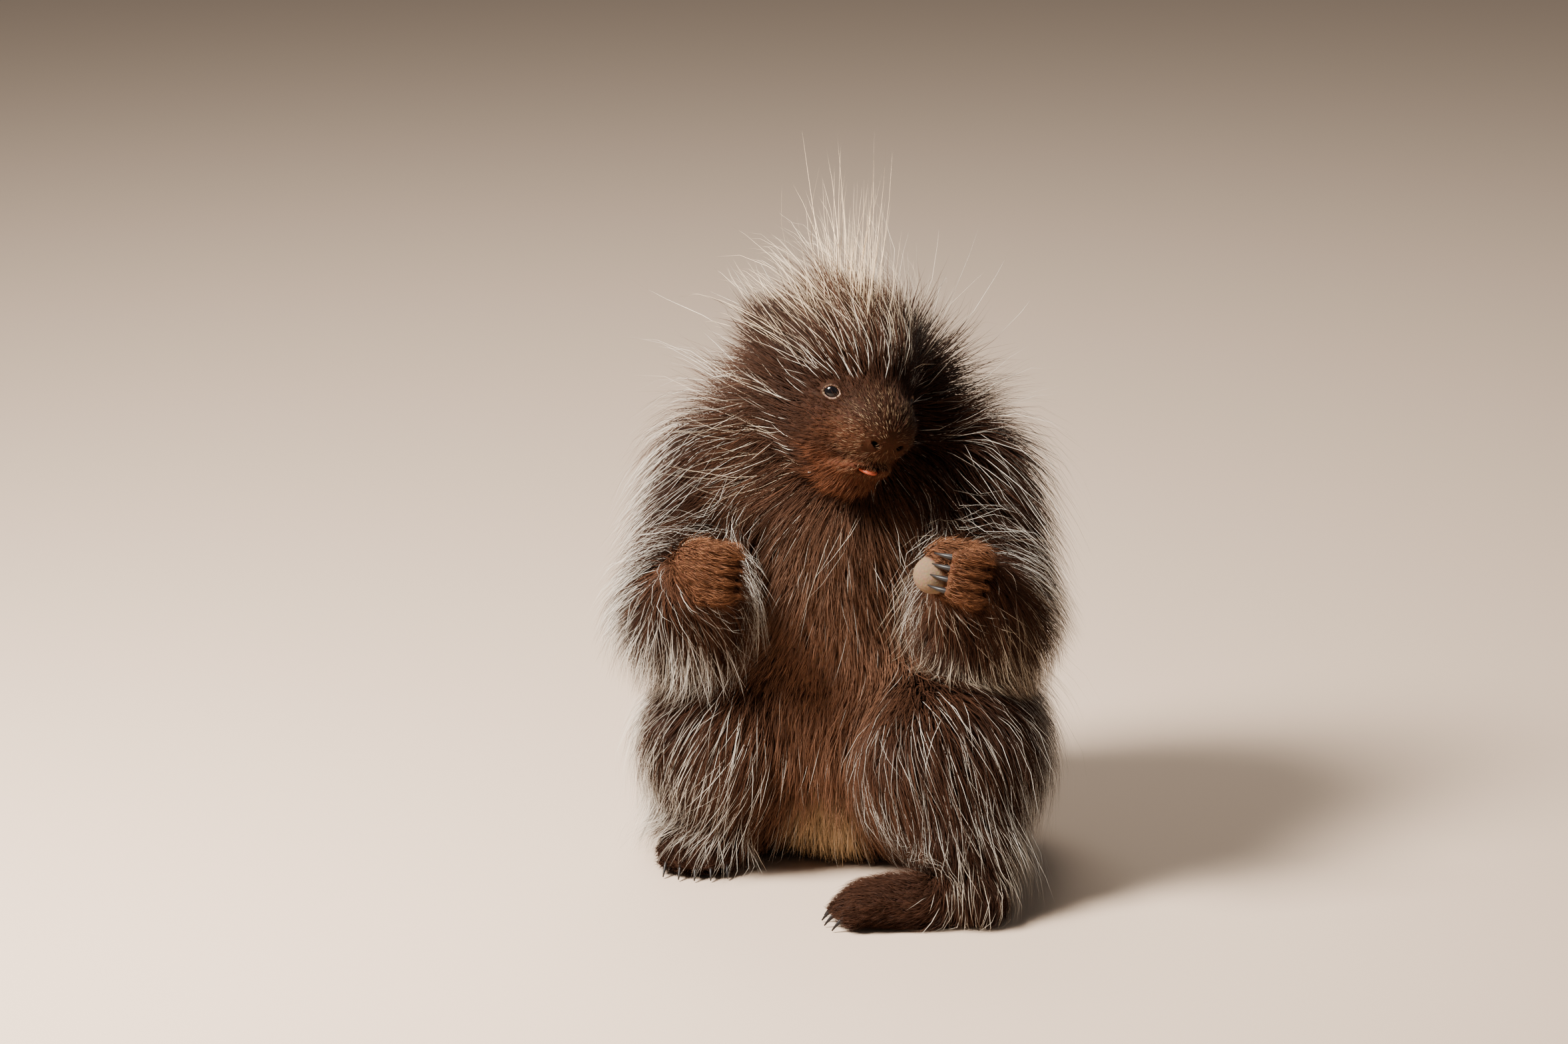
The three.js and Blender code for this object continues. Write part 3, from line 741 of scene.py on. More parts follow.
    def trunk(self) -> list[Shape]:
        """All but the head, fists and feet, with the thighs run softly into the belly.

        Returns:
            The distances to their surfaces.
        """
        haunches = [self.torso()] + [self.limb(side, Part.THIGH) for side in SIDES]
        apart = (Part.HEAD, Part.TORSO, Part.THIGH, *SHARP_PARTS)
        rest = [shape for part, _, shape in self.parts() if part not in apart]
        return [blended(self.haunch_blend, *haunches), *rest]

    def smooth(self) -> Shape:
        """The whole body without the face's details, which the coat follows."""
        whole = blended(self.body_blend, *self.trunk(), self.lipped_head())
        return blended(self.end_blend, whole, *self.ends())

    def ends(self) -> list[Shape]:
        """Both fists and both feet."""
        fists = [bounded(self.fist(side), side.paw, 36) for side in SIDES]
        return fists + [bounded(self.foot(side), mixed(side.heel, side.toes, 0.5), 56) for side in SIDES]

    def detailed_head(self) -> Shape:
        """The head with lids, nostrils, lips and ears; each eye stands in the hole between its lids.

        Returns:
            The distance to its surface.
        """
        head = self.lipped_head()
        for side in SIDES:
            head = self.with_lids(head, side.sign)
            head = self.with_nostril(head, side.sign)
            head = blended(2.0, head, bounded(self.ear(side), FACE.ear_centre(side.sign), 18))
        gap = ellipsoid(HEAD.at(*FACE.gap), FACE.gap_radii, HEAD_AXES)
        return carved(0.5, head, FACE.near_mouth(FACE.slit()), FACE.near_mouth(gap))

    def with_lids(self, head: Shape, sign: int) -> Shape:
        """A head with lids raised round one eye and the opening cut between them.

        Args:
            head: The head so far.
            sign: 1 for the left one and -1 for the right one.

        Returns:
            The distance to its surface.
        """
        centre, reach = FACE.eye_centre(sign), 14
        lids = ellipsoid(centre, (FACE.eye_radius + FACE.lid,) * 3)
        head = blended(1.6, head, bounded(lids, centre, reach))
        return carved(0.35, head, bounded(FACE.almond(sign), centre, reach))

    def with_nostril(self, head: Shape, sign: int) -> Shape:
        """A head with one nostril's rim raised and its hole cut, both slanted outwards.

        Args:
            head: The head so far.
            sign: 1 for the left one and -1 for the right one.

        Returns:
            The distance to its surface.
        """
        flare = unit(sign * HEAD_AXES[1] + 0.6 * HEAD_AXES[2])
        axes = np.stack([flare, np.cross(HEAD_AXES[0], flare), HEAD_AXES[0]])
        rim = FACE.nostril_rim_centre(sign)
        head = blended(1.5, head, bounded(ellipsoid(rim, FACE.nostril_rim, axes), rim, 9))
        hole = ellipsoid(HEAD.beside(FACE.nostril, sign), FACE.nostril_hole, axes)
        return carved(0.6, head, bounded(hole, rim, 11))

    def ear(self, side: Side) -> Shape:
        """A short round ear hollowed from the front.

        Args:
            side: The side that it is on.

        Returns:
            The distance to its surface.
        """
        axes = FACE.ear_axes(side.sign)
        centre = FACE.ear_centre(side.sign)
        cup = ellipsoid(centre, FACE.ear_cup, axes)
        hollow = ellipsoid(centre + vector(1.5, 4.2, 0) @ axes, FACE.ear_hollow, axes)
        return carved(0.8, cup, hollow)

    def detailed(self) -> Shape:
        """The whole skin, cut level just above the floor.

        Returns:
            The distance to its surface.
        """
        head = bounded(self.detailed_head(), HEAD.centre, 64)
        whole = blended(self.end_blend, blended(self.body_blend, *self.trunk(), head), *self.ends())
        return lambda p: np.maximum(whole(p), FLOOR_CLEARANCE - p[..., 2])


LIMB_PARTS = (Part.UPPER_ARM, Part.FOREARM, Part.THIGH, Part.SHANK)
SHARP_PARTS = (Part.FOREPAW, Part.HIND_FOOT)
SINGLE_PARTS = (Part.HEAD, Part.NECK, Part.TORSO, Part.TAIL)
FIST_ROWS = (-1.5, -0.5, 0.5, 1.5)
FIST_ROW = 5.6
FOOT_TOES = (-2, -1, 0, 1, 2)
BODY = Body()


# Colours, as linear light.


class Tint(enum.Enum):
    """Colours of skin and coat."""

    CHOCOLATE = (0.0195, 0.0084, 0.0048)
    UMBER = (0.046, 0.0195, 0.0105)
    FACE = (0.023, 0.0090, 0.0046)
    MUZZLE = (0.050, 0.0185, 0.0088)
    LIP = (0.078, 0.0265, 0.0120)
    FIST = (0.085, 0.034, 0.0165)
    # warm tips of the fists' fur, brightened so that they are partly painted sheen
    CINNAMON_AND_SHEEN = (0.46, 0.205, 0.100)
    BELLY = (0.084, 0.041, 0.0240)
    FOOT = (0.027, 0.0108, 0.0058)
    SILVER = (0.95, 0.92, 0.85)
    CREAM = (0.95, 0.73, 0.48)
    STRAW = (0.56, 0.40, 0.23)
    PAD = (0.19, 0.125, 0.078)
    LID = (0.34, 0.215, 0.155)
    NOSTRIL = (0.010, 0.007, 0.006)

    def rgb(self) -> Array:
        """The colour as an array."""
        return np.array(self.value)


def painted(base: Array, tint: Tint, share: Array) -> Array:
    """Colours moved towards a tint by a share at each point."""
    return mixed(base, tint.rgb(), share[:, None])


@dataclass(frozen=True)
class Place:
    """What is known of some points on the skin: where they are and which parts they belong to."""

    points: Array
    weights: dict[Part, Array]

    def share(self, *parts: Part) -> Array:
        """How far each point belongs to any of some parts."""
        return sum(self.weights[part] for part in parts)

    def head(self) -> Array:
        """The points along the head's axes."""
        return HEAD.local(self.points)

    def muzzle(self) -> Array:
        """A share that is 1 on the muzzle and 0 behind the eyes."""
        return self.share(Part.HEAD) * ramp(self.head()[:, 0], 12, 30)

    def long_head(self) -> Array:
        """How far the head's coat has grown long, from 0 on the face to 1 on the crown and nape.

        Returns:
            One share for each point.
        """
        local = self.head()
        forward, up = local[:, 0], local[:, 2]
        throat = 0.8 * ramp(up, -26, -40) * ramp(forward, 20, 4)
        return ramp((16 - forward) / 26 + np.maximum(0, up - 4) / 18 + throat, 0.0, 0.85)

    def crown(self) -> Array:
        """A share that is 1 where the coat of the head is long."""
        return self.share(Part.HEAD) * self.long_head()

    def far_cheek(self) -> Array:
        """A share that is 1 on the right rear of the head, where the coat is shorter and lies flatter."""
        return self.share(Part.HEAD) * ramp(self.head()[:, 1], -6, -18) * ramp(self.head()[:, 0], 14, 0)

    def belly(self) -> Array:
        """A share that is 1 on the front of the torso, where the coat is short."""
        x, y = self.points[:, 0], self.points[:, 1]
        return self.share(Part.TORSO) * ramp(y, -22, -44) * ramp(np.abs(x), 46, 26)

    def groin(self) -> Array:
        """A share that is 1 low between the legs."""
        x, y, z = self.points.T
        return self.share(Part.TORSO) * ramp(z, 46, 20) * ramp(y, -15, -30) * ramp(np.abs(x + 6), 20, 9)


PART_SHAPES = BODY.parts()
SMOOTH = BODY.smooth()
DETAILED = BODY.detailed()
WEIGHT_REACH = 5.0


def closeness_of(points: Array) -> Array:
    """How far points belong to each part, one row for each, with the heel left to the leg's coat.

    Args:
        points: The points.

    Returns:
        One row of shares for each part.
    """
    distances = []
    for part, side, shape in PART_SHAPES:
        distance = shape(points)
        if part is Part.HIND_FOOT:
            distance = distance + 10.0 * ramp(away_from(side.heel, points), 30, 15)
        distances.append(distance)
    closeness = np.exp(-(np.stack(distances) - np.min(distances, axis=0)) / WEIGHT_REACH)
    return closeness / closeness.sum(axis=0)


def clearance(points: Array, *parts: Part) -> Array:
    """How far points are from the nearest of some parts of the body."""
    return np.min([shape(points) for part, _, shape in PART_SHAPES if part in parts], axis=0)


def place_of(points: Array) -> Place:
    """Judges how far some points belong to each part, fading over a few millimetres.

    Args:
        points: The points.

    Returns:
        What is known of the points.
    """
    closeness = closeness_of(points)
    weights = {part: np.zeros(len(points)) for part in Part}
    for (part, _, _), share in zip(PART_SHAPES, closeness):
        weights[part] = weights[part] + share
    return Place(points, weights)


def ground_tint(place: Place) -> Array:
    """The colour of skin and of the roots of the coat, the same markings and the same painted light on the
    lower belly for both.

    Args:
        place: The points to colour.

    Returns:
        One colour for each point.
    """
    colour = np.tile(Tint.CHOCOLATE.rgb(), (len(place.points), 1))
    inner = ramp(np.abs(place.points[:, 0]), 72, 34) * ramp(place.points[:, 1], 0, -40)
    colour = painted(colour, Tint.UMBER, 0.25 + 0.75 * inner)
    colour = painted(colour, Tint.BELLY, place.belly())
    # Painted light: the lower belly is brightened nearly twofold as though light fell on it.
    low_belly = place.belly() * ramp(place.points[:, 2], 132, 100)
    colour = colour * (1 + 0.9 * low_belly[:, None])
    colour = painted(colour, Tint.STRAW, 0.85 * place.groin())
    colour = painted(colour, Tint.FACE, place.share(Part.HEAD) * (1 - 0.7 * place.long_head()))
    colour = painted(colour, Tint.CHOCOLATE, 0.8 * place.far_cheek())
    local = place.head()
    colour = painted(colour, Tint.MUZZLE, place.muzzle() * ramp(local[:, 2], 2, -10))
    low_lip = place.share(Part.HEAD) * ramp(local[:, 2], -19, -25) * ramp(local[:, 0], 9, 20)
    colour = painted(colour, Tint.LIP, 0.8 * low_lip)
    colour = painted(colour, Tint.FIST, place.share(Part.FOREPAW))
    return painted(colour, Tint.FOOT, place.share(Part.HIND_FOOT))


# Finishes.


def new_material(name: str, roughness: float, specular: float) -> tuple[bpy.types.Material, bpy.types.Node]:
    """A new material and its shader, with the gloss set on the shader's own sockets.

    Args:
        name: Its name.
        roughness: How rough it is, from 0 to 1.
        specular: How strongly it mirrors from the front, usually 0.5.

    Returns:
        The material and its shader.
    """
    material = bpy.data.materials.new(name)
    material.use_nodes = True
    shader = material.node_tree.nodes["Principled BSDF"]
    shader.inputs["Roughness"].default_value = roughness
    shader.inputs["Specular IOR Level"].default_value = specular
    return material, shader


def attribute_node(nodes: bpy.types.Nodes, name: str) -> bpy.types.Node:
    """A node that reads one of the mesh's own attributes.

    Args:
        nodes: The material's nodes.
        name: The attribute's name.

    Returns:
        The node.
    """
    attribute = nodes.new("ShaderNodeAttribute")
    attribute.attribute_name = name
    return attribute


@dataclass(frozen=True)
class CoatFinish:
    """Hair whose colour runs from its root's tint to its tip's."""

    name: str
    roughness: float = 0.5
    specular: float = 0.08

    def material(self) -> bpy.types.Material:
        """Builds the material from the strands' own attributes.

        Returns:
            The material.
        """
        material, shader = new_material(self.name, self.roughness, self.specular)
        nodes, links = material.node_tree.nodes, material.node_tree.links
        mix = nodes.new("ShaderNodeMix")
        mix.data_type = "RGBA"
        rise = nodes.new("ShaderNodeMapRange")
        rise.interpolation_type = "SMOOTHSTEP"
        for name, socket in (("root_tint", mix.inputs[6]), ("tip_tint", mix.inputs[7])):
            links.new(attribute_node(nodes, name).outputs["Color"], socket)
        links.new(attribute_node(nodes, "shade").outputs["Fac"], rise.inputs["Value"])
        links.new(rise.outputs["Result"], mix.inputs[0])
        links.new(mix.outputs[2], shader.inputs["Base Color"])
        return material


@dataclass(frozen=True)
class SkinFinish:
    """Skin under short flat fur, coloured by its markings and painted light and roughened by a fine nap."""

    name: str
    roughness: float = 0.75
    specular: float = 0.06
    nap_scale: float = 900.0
    nap_strength: float = 0.5
    nap_depth: float = 0.0006

    def material(self) -> bpy.types.Material:
        """Builds the material from the skin's own colours and a fine noise.

        Returns:
            The material.
        """
        material, shader = new_material(self.name, self.roughness, self.specular)
        nodes, links = material.node_tree.nodes, material.node_tree.links
        tint = attribute_node(nodes, "tint")
        place = nodes.new("ShaderNodeTexCoord")
        nap = nodes.new("ShaderNodeTexNoise")
        nap.inputs["Scale"].default_value = self.nap_scale
        nap.inputs["Detail"].default_value = 3.0
        links.new(place.outputs["Object"], nap.inputs["Vector"])
        vary = nodes.new("ShaderNodeMix")
        vary.data_type = "RGBA"
        vary.blend_type = "MULTIPLY"
        vary.inputs[0].default_value = 0.5
        links.new(tint.outputs["Color"], vary.inputs[6])
        links.new(nap.outputs["Color"], vary.inputs[7])
        links.new(vary.outputs[2], shader.inputs["Base Color"])
        bump = nodes.new("ShaderNodeBump")
        bump.inputs["Strength"].default_value = self.nap_strength
        bump.inputs["Distance"].default_value = self.nap_depth
        links.new(nap.outputs["Fac"], bump.inputs["Height"])
        links.new(bump.outputs["Normal"], shader.inputs["Normal"])
        return material


@dataclass(frozen=True)
class HornFinish:
    """Smooth horn, wet flesh or a glossy eye: one colour with a gloss."""

    name: str
    colour: tuple[float, float, float]
    roughness: float
    specular: float = 0.5
    wet: float = 0.0

    def material(self) -> bpy.types.Material:
        """Builds the material.

        Returns:
            The material.
        """
        material, shader = new_material(self.name, self.roughness, self.specular)
        shader.inputs["Coat Weight"].default_value = self.wet
        shader.inputs["Base Color"].default_value = (*self.colour, 1.0)
        return material


# Meshes from arrays.


def mesh_from(name: str, places: Array, faces: list[Array]) -> bpy.types.Object:
    """A smooth-shaded object from corners in millimetres and blocks of like-sided faces.

    Args:
        name: The object's name.
        places: The corners.
        faces: Blocks of faces, each a row of corner numbers.

    Returns:
        The object, linked to the scene.
    """
    mesh = bpy.data.meshes.new(name)
    mesh.vertices.add(len(places))
    mesh.vertices.foreach_set("co", (places * MM).astype(np.float32).ravel())
    loops = np.concatenate([block.ravel() for block in faces])
    sizes = np.concatenate([np.full(len(block), block.shape[1]) for block in faces])
    mesh.loops.add(len(loops))
    mesh.loops.foreach_set("vertex_index", loops.astype(np.int32))
    mesh.polygons.add(len(sizes))
    mesh.polygons.foreach_set("loop_start", (np.cumsum(sizes) - sizes).astype(np.int32))
    mesh.polygons.foreach_set("use_smooth", np.ones(len(sizes), dtype=bool))
    mesh.update(calc_edges=True)
    thing = bpy.data.objects.new(name, mesh)
    bpy.context.scene.collection.objects.link(thing)
    return thing


def corners_of(mesh: bpy.types.Mesh) -> Array:
    """The corners of a mesh in millimetres.

    Args:
        mesh: The mesh.

    Returns:
        One row for each corner.
    """
    corners = np.empty(len(mesh.vertices) * 3, dtype=np.float32)
    mesh.vertices.foreach_get("co", corners)
    return corners.reshape(-1, 3).astype(float) / MM


def paint(mesh: bpy.types.Mesh, name: str, colours: Array) -> None:
    """Keeps one colour for each vertex of a mesh as a named attribute.

    Args:
        mesh: The mesh.
        name: The attribute's name.
        colours: One colour for each vertex.
    """
    attribute = mesh.attributes.new(name, "FLOAT_COLOR", "POINT")
    full = np.concatenate([colours, np.ones((len(colours), 1))], axis=1)
    attribute.data.foreach_set("color", full.astype(np.float32).ravel())


def tube_quads(rings: int, sides: int) -> Array:
    """The faces round a tube whose corners are numbered ring by ring.

    Args:
        rings: How many rings the tube has.
        sides: How many corners each ring has.

    Returns:
        Four corner numbers for each face.
    """
    rows = [
        (r * sides + c, r * sides + (c + 1) % sides, (r + 1) * sides + (c + 1) % sides, (r + 1) * sides + c)
        for r in range(rings - 1)
        for c in range(sides)
    ]
    return np.array(rows)


def dressed(thing: bpy.types.Object, material: bpy.types.Material) -> bpy.types.Object:
    """Gives a piece its material and the body that it rides on.

    Args:
        thing: The piece.
        material: Its material.

    Returns:
        The same piece.
    """
    thing.data.materials.append(material)
    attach(thing, "root")
    LOG.info("%s: %d faces", thing.name, len(thing.data.polygons))
    return thing


@dataclass
class Skin:
    """One skin over the whole body, finer round the head, eyes, nose, mouth, paws and feet."""

    voxel: float = 2.0
    margin: float = 6.0
    low: Array = field(default_factory=lambda: vector(-92, -130, -6))
    high: Array = field(default_factory=lambda: vector(92, 166, 262))

    def build(self) -> bpy.types.Object:
        """Draws the surface on a grid, refines it where it carries detail and settles it on the shape.

        Returns:
            The skin's object.
        """
        counts = np.ceil((self.high - self.low) / self.voxel).astype(int)
        axes = [self.low[k] + self.voxel * np.arange(counts[k]) for k in range(3)]
        values = np.empty(tuple(counts), dtype=np.float32)
        flat = np.stack(np.meshgrid(axes[1], axes[2], indexing="ij"), axis=-1)
        for i, x in enumerate(axes[0]):
            slab = np.concatenate([np.full((*flat.shape[:2], 1), x), flat], axis=-1)
            values[i] = DETAILED(slab.reshape(-1, 3)).reshape(flat.shape[:2])
        grid = openvdb.FloatGrid(self.margin)
        grid.copyFromArray(values)
        places, quads = grid.convertToQuads(0.0)
        places = np.asarray(places, dtype=float) * self.voxel + self.low
        surface = mesh_from("skin", places, [np.asarray(quads, dtype=np.int64)[:, ::-1]])
        self.refine(surface.data)
        self.settle(surface.data)
        return surface

    def refine(self, mesh: bpy.types.Mesh) -> None:
        """Divides the faces near what needs detail, more often round the eyes, nose and mouth.

        Args:
            mesh: The mesh.
        """
        eyes = [FACE.eye_centre(side.sign) for side in SIDES]
        ends = [side.paw for side in SIDES] + [mixed(side.heel, side.toes, 0.75) for side in SIDES]
        muzzle, nose = HEAD.at(26, 0, -16), HEAD.at(38, 0, -11)
        rounds = (
            [(HEAD.centre, 47.0)] + [(end, 30.0) for end in ends],
            [(eye, 11.0) for eye in eyes] + [(muzzle, 24.0), (LEFT.paw, 22.0)],
            [(eye, 8.0) for eye in eyes] + [(nose, 9.0)],
        )
        for near in rounds:
            work = bmesh.new()
            work.from_mesh(mesh)
            centres = np.array([face.calc_center_median() for face in work.faces]) / MM
            chosen = np.zeros(len(centres), dtype=bool)
            for place, reach in near:
                chosen |= away_from(place, centres) < reach
            work.faces.ensure_lookup_table()
            edges = {edge for i in np.nonzero(chosen)[0] for edge in work.faces[int(i)].edges}
            bmesh.ops.subdivide_edges(work, edges=list(edges), cuts=1, use_grid_fill=True)
            work.to_mesh(mesh)
            work.free()

    def settle(self, mesh: bpy.types.Mesh) -> None:
        """Moves every vertex onto the detailed shape.

        Args:
            mesh: The mesh.
        """
        places = corners_of(mesh)
        for _ in range(4):
            step = np.clip(DETAILED(places), -1.2, 1.2)
            places -= step[:, None] * outward(DETAILED, places, 0.15)
        mesh.vertices.foreach_set("co", (places * MM).astype(np.float32).ravel())
        mesh.update()

    def dress(self, skin: bpy.types.Object) -> None:
        """Colours the skin by its markings and painted light, and lets it stand for the nodes of flesh.

        Args:
            skin: The skin's object.
        """
        places = corners_of(skin.data)
        colour = ground_tint(place_of(places))
        for side in SIDES:
            colour = painted(colour, Tint.PAD, ramp(BODY.pad(side)(places), 0.9, 0.2))
            away = away_from(FACE.eye_centre(side.sign), places)
            rim = ramp(FACE.almond(side.sign)(places), 0.75, 0.25) * ramp(away, 7.5, 6.5)
            colour = painted(colour, Tint.LID, 0.85 * rim)
            from_hole = away_from(FACE.nostril_rim_centre(side.sign), places)
            colour = painted(colour, Tint.NOSTRIL, ramp(from_hole, 3.6, 1.6))
        inside = ramp(FACE.slit()(places), 0.4, 0.0)
        colour = painted(colour, Tint.NOSTRIL, inside)
        paint(skin.data, "tint", colour)
        dressed(skin, SkinFinish("short_nap").material())
        fleshy = [part.value for part in SINGLE_PARTS]
        paired = [part.value for part in Part if part not in SINGLE_PARTS]
        fleshy += [f"{name}_{side.name}" for name in paired for side in SIDES]
        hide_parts(*fleshy)


# The coat.


def lie_of(part: Part, side: Side | None, p: Array) -> Array:
    """The way that the coat lies at points of one part, not yet laid along the skin.

    Args:
        part: The part of the body.
        side: Its side, where it has one.
        p: The points.

    Returns:
        One direction for each point.
    """
    muzzle = HEAD.at(34, 0, -8)
    away = unit(p - muzzle)
    if part in (Part.HEAD, Part.EAR):
        return away
    if part is Part.NECK:
        return away + DOWN * ramp(p[:, 2], 250, 190)[:, None]
    if part is Part.TORSO:
        ruff = ramp(p[:, 2], 150, 210)[:, None]
        outwards = 0.25 * np.clip(p[:, 0] / 40.0, -1.0, 1.0)
        sideways = np.stack([outwards, np.full(len(p), 0.12), np.zeros(len(p))], axis=1)
        return unit(p - HEAD.centre) * ruff + DOWN + sideways
    if part is Part.TAIL:
        return np.tile(unit(BODY.tail_tip - BODY.tail_root), (len(p), 1))
    if part is Part.FOREPAW:
        return np.tile(side.fist_axes()[0], (len(p), 1))
    if part is Part.HIND_FOOT:
        return np.tile(side.foot_axes()[0], (len(p), 1))
    if part is Part.FOREARM:
        return unit(p - side.wrist) + DOWN
    outwards = vector(side.sign, 0, 0)
    ways = {
        Part.THIGH: 0.35 * unit(side.knee - side.hip) + DOWN + 0.3 * outwards,
        Part.SHANK: unit(side.ankle - side.knee),
        Part.UPPER_ARM: unit(side.elbow - side.shoulder) + 0.5 * DOWN + 0.7 * outwards,
    }
    return np.tile(ways[part], (len(p), 1))


def flow_at(points: Array, closeness: Array) -> Array:
    """The lie of the coat at points, mixed from the parts that they belong to.

    Args:
        points: The points.
        closeness: How far the points belong to each part, one row for each.

    Returns:
        One direction for each point.
    """
    flow = np.zeros_like(points)
    for (part, side, _), share in zip(PART_SHAPES, closeness):
        near = share > 0.02
        if near.any():
            flow[near] += share[near, None] * unit(lie_of(part, side, points[near]))
    return flow


@dataclass
class Strands:
    """Roots of hairs with what each of them needs to grow."""

    roots: Array
    normals: Array
    closeness: Array
    length: Array
    width: Array
    lift: Array
    settle: Array
    rise: Array
    root_tint: Array
    tip_tint: Array
    turning: Array  # share of the length at which the tip's colour begins
    softness: float = 0.35
    flatness: float = 0.6
    rings: int = 3
    stray: float = math.radians(12)
    sunk: float = 1.2

    def paths(self, rng: np.random.Generator) -> tuple[Array, Array]:
        """Grows every strand along the lie of the coat.

        Args:
            rng: Repeatable random numbers.

        Returns:
            Points along each strand and the ways out of the skin there.
        """
        count = len(self.roots)
        turn = rng.normal(0, self.stray, count)
        bend = rng.normal(0, self.stray * 0.9, count)
        substeps = 3
        total = self.rings * substeps
        p = self.roots - self.sunk * self.normals
        points, outs = [], []
        for i in range(total + 1):
            out = outward(SMOOTH, p, 1.0)
            out = unit(mixed(out, UP, self.rise[:, None]))
            if i % substeps == 0:
                points.append(p.copy())
                outs.append(out)
            flow = flow_at(p, self.closeness)
            flow = unit(flow - (flow * out).sum(axis=1, keepdims=True) * out)
            angle = (turn + bend * (i / total - 0.3))[:, None]
            flow = flow * np.cos(angle) + np.cross(out, flow) * np.sin(angle)
            lift = mixed(self.lift, self.settle, i / total)[:, None]
            step = (self.length / total)[:, None]
            p = p + step * (flow * np.cos(lift) + out * np.sin(lift))
            under = np.maximum(0.0, 0.6 - SMOOTH(p))
            p = p + under[:, None] * out * min(1.0, i / substeps)
            p[:, 2] = np.maximum(p[:, 2], HAIR_CLEARANCE)
        return np.stack(points, axis=1), np.stack(outs, axis=1)

    def kept(self, chosen: Array) -> "Strands":
        """The strands of some of the roots.

        Args:
            chosen: Which of them to keep.

        Returns:
            Those that are kept.
        """
        places = ("roots", "normals", "length", "width", "lift", "settle", "rise")
        looks = ("root_tint", "tip_tint", "turning")
        values = {name: getattr(self, name)[chosen] for name in places + looks}
        return replace(self, closeness=self.closeness[:, chosen], **values)


CORNERS = ((-1.0, -0.5), (1.0, -0.5), (0.0, 1.0))  # of a strand's ring: across it, and out of the skin
BAKE_PATCH = 0.003  # side of one strand's patch, as a share of its sheet


def unwrapped(roots: Array, centre: Array, axis: Array, span: float) -> Array:
    """Places on a sheet wrapped round an axis of the skin, from 0 to 1 both ways.

    Args:
        roots: Points on the skin.
        centre: A point on the axis, half way along the sheet.
        axis: The way of the axis.
        span: How much of the axis the sheet covers.

    Returns:
        Two shares for each root.
    """
    forward = unit(np.cross(axis, vector(1, 0, 0)))
    across = np.cross(axis, forward)
    local = roots - centre
    round_share = np.arctan2(local @ across, local @ forward) / (2 * math.pi) + 0.5
    along_share = np.clip((local @ axis) / span + 0.5, 0.0, 1.0)
    return np.stack([round_share, along_share], axis=1) * (1 - 2 * BAKE_PATCH) + BAKE_PATCH


@dataclass
class CoatPiece:
    """One mesh of the coat: strands joined, coloured and unwrapped round one axis of the body."""

    name: str
    centre: Array
    axis: Array
    span: float
    root_width: float = 0.8
    tip_width: float = 0.12

    def build(self, strands: Strands, paths: Array, outs: Array) -> bpy.types.Object:
        """Turns paths into closed tapered strands with three sides.

        Args:
            strands: What each strand is.
            paths: Points along each strand.
            outs: The ways out of the skin there.

        Returns:
            The piece's object.
        """
        count, stations = paths.shape[:2]
        rings = stations - 1
        along = unit(np.gradient(paths, axis=1))
        side = unit(np.cross(outs, along))
        out = np.cross(along, side)
        taper = np.linspace(1.0, self.tip_width, rings) ** 0.7
        taper = taper * np.where(np.arange(rings) == 0, self.root_width, 1.0)
        width = strands.width[:, None] * taper
        places = np.empty((count, rings * 3 + 1, 3))
        for ring_number in range(rings):
            for corner, (across, deep) in enumerate(CORNERS):
                sideways = across * width[:, ring_number, None] * side[:, ring_number]
                outwards = deep * strands.flatness * width[:, ring_number, None] * out[:, ring_number]
                places[:, ring_number * 3 + corner] = paths[:, ring_number] + sideways + outwards
        places[:, -1] = paths[:, -1]
        last = (rings - 1) * 3
        caps = [(last + c, last + (c + 1) % 3, rings * 3) for c in range(3)] + [(2, 1, 0)]
        first = (np.arange(count) * places.shape[1])[:, None, None]
        blocks = [
            (tube_quads(rings, 3)[None] + first).reshape(-1, 4),
            (np.array(caps)[None] + first).reshape(-1, 3),
        ]
        piece = mesh_from(self.name, places.reshape(-1, 3), blocks)
        self.colour(piece.data, strands, rings)
        self.unwrap(piece.data, strands, rings, blocks)
        return piece

    def colour(self, mesh: bpy.types.Mesh, strands: Strands, rings: int) -> None:
        """Keeps both tints and the place of the change between them on every corner.

        Args:
            mesh: The mesh.
            strands: What each strand is.
            rings: How many rings each strand has.
        """
        corners = rings * 3 + 1
        paint(mesh, "root_tint", np.repeat(strands.root_tint, corners, axis=0))
        paint(mesh, "tip_tint", np.repeat(strands.tip_tint, corners, axis=0))
        heights = np.append(np.repeat(np.arange(rings), 3), rings) / rings
        shade = (heights[None] - strands.turning[:, None]) / strands.softness
        attribute = mesh.attributes.new("shade", "FLOAT", "POINT")
        attribute.data.foreach_set("value", shade.astype(np.float32).ravel())

    def unwrap(self, mesh: bpy.types.Mesh, strands: Strands, rings: int, blocks: list[Array]) -> None:
        """Lays each strand as a small patch at its root's place on an unwrap of the skin.

        Args:
            mesh: The mesh.
            strands: What each strand is.
            rings: How many rings each strand has.
            blocks: The faces, in the mesh's own order.
        """
        corner = unwrapped(strands.roots, self.centre, self.axis, self.span)
        spots = [(c / 2, r / rings) for r in range(rings) for c in range(3)] + [(0.5, 1.0)]
        patch = corner[:, None] + (np.array(spots) - 0.5)[None] * BAKE_PATCH
        loops = np.concatenate([block.ravel() for block in blocks])
        layer = mesh.uv_layers.new(name="OFBake")
        layer.data.foreach_set("uv", patch.reshape(-1, 2)[loops].astype(np.float32).ravel())


@dataclass(frozen=True)
class Growth:
    """Lengths, angles and density of a coat on one part of the body.

    under and guard are lengths of the soft underfur and of the dark guard hairs. lift and settle say how
    steeply they leave the skin and end, in degrees. thickness is how many guard hairs stand on a square
    centimetre, and silver how many pale-tipped ones, before the silver map adds some or thins them.
    """

    under: float
    guard: float
    lift: float
    settle: float
    thickness: float
    silver: float


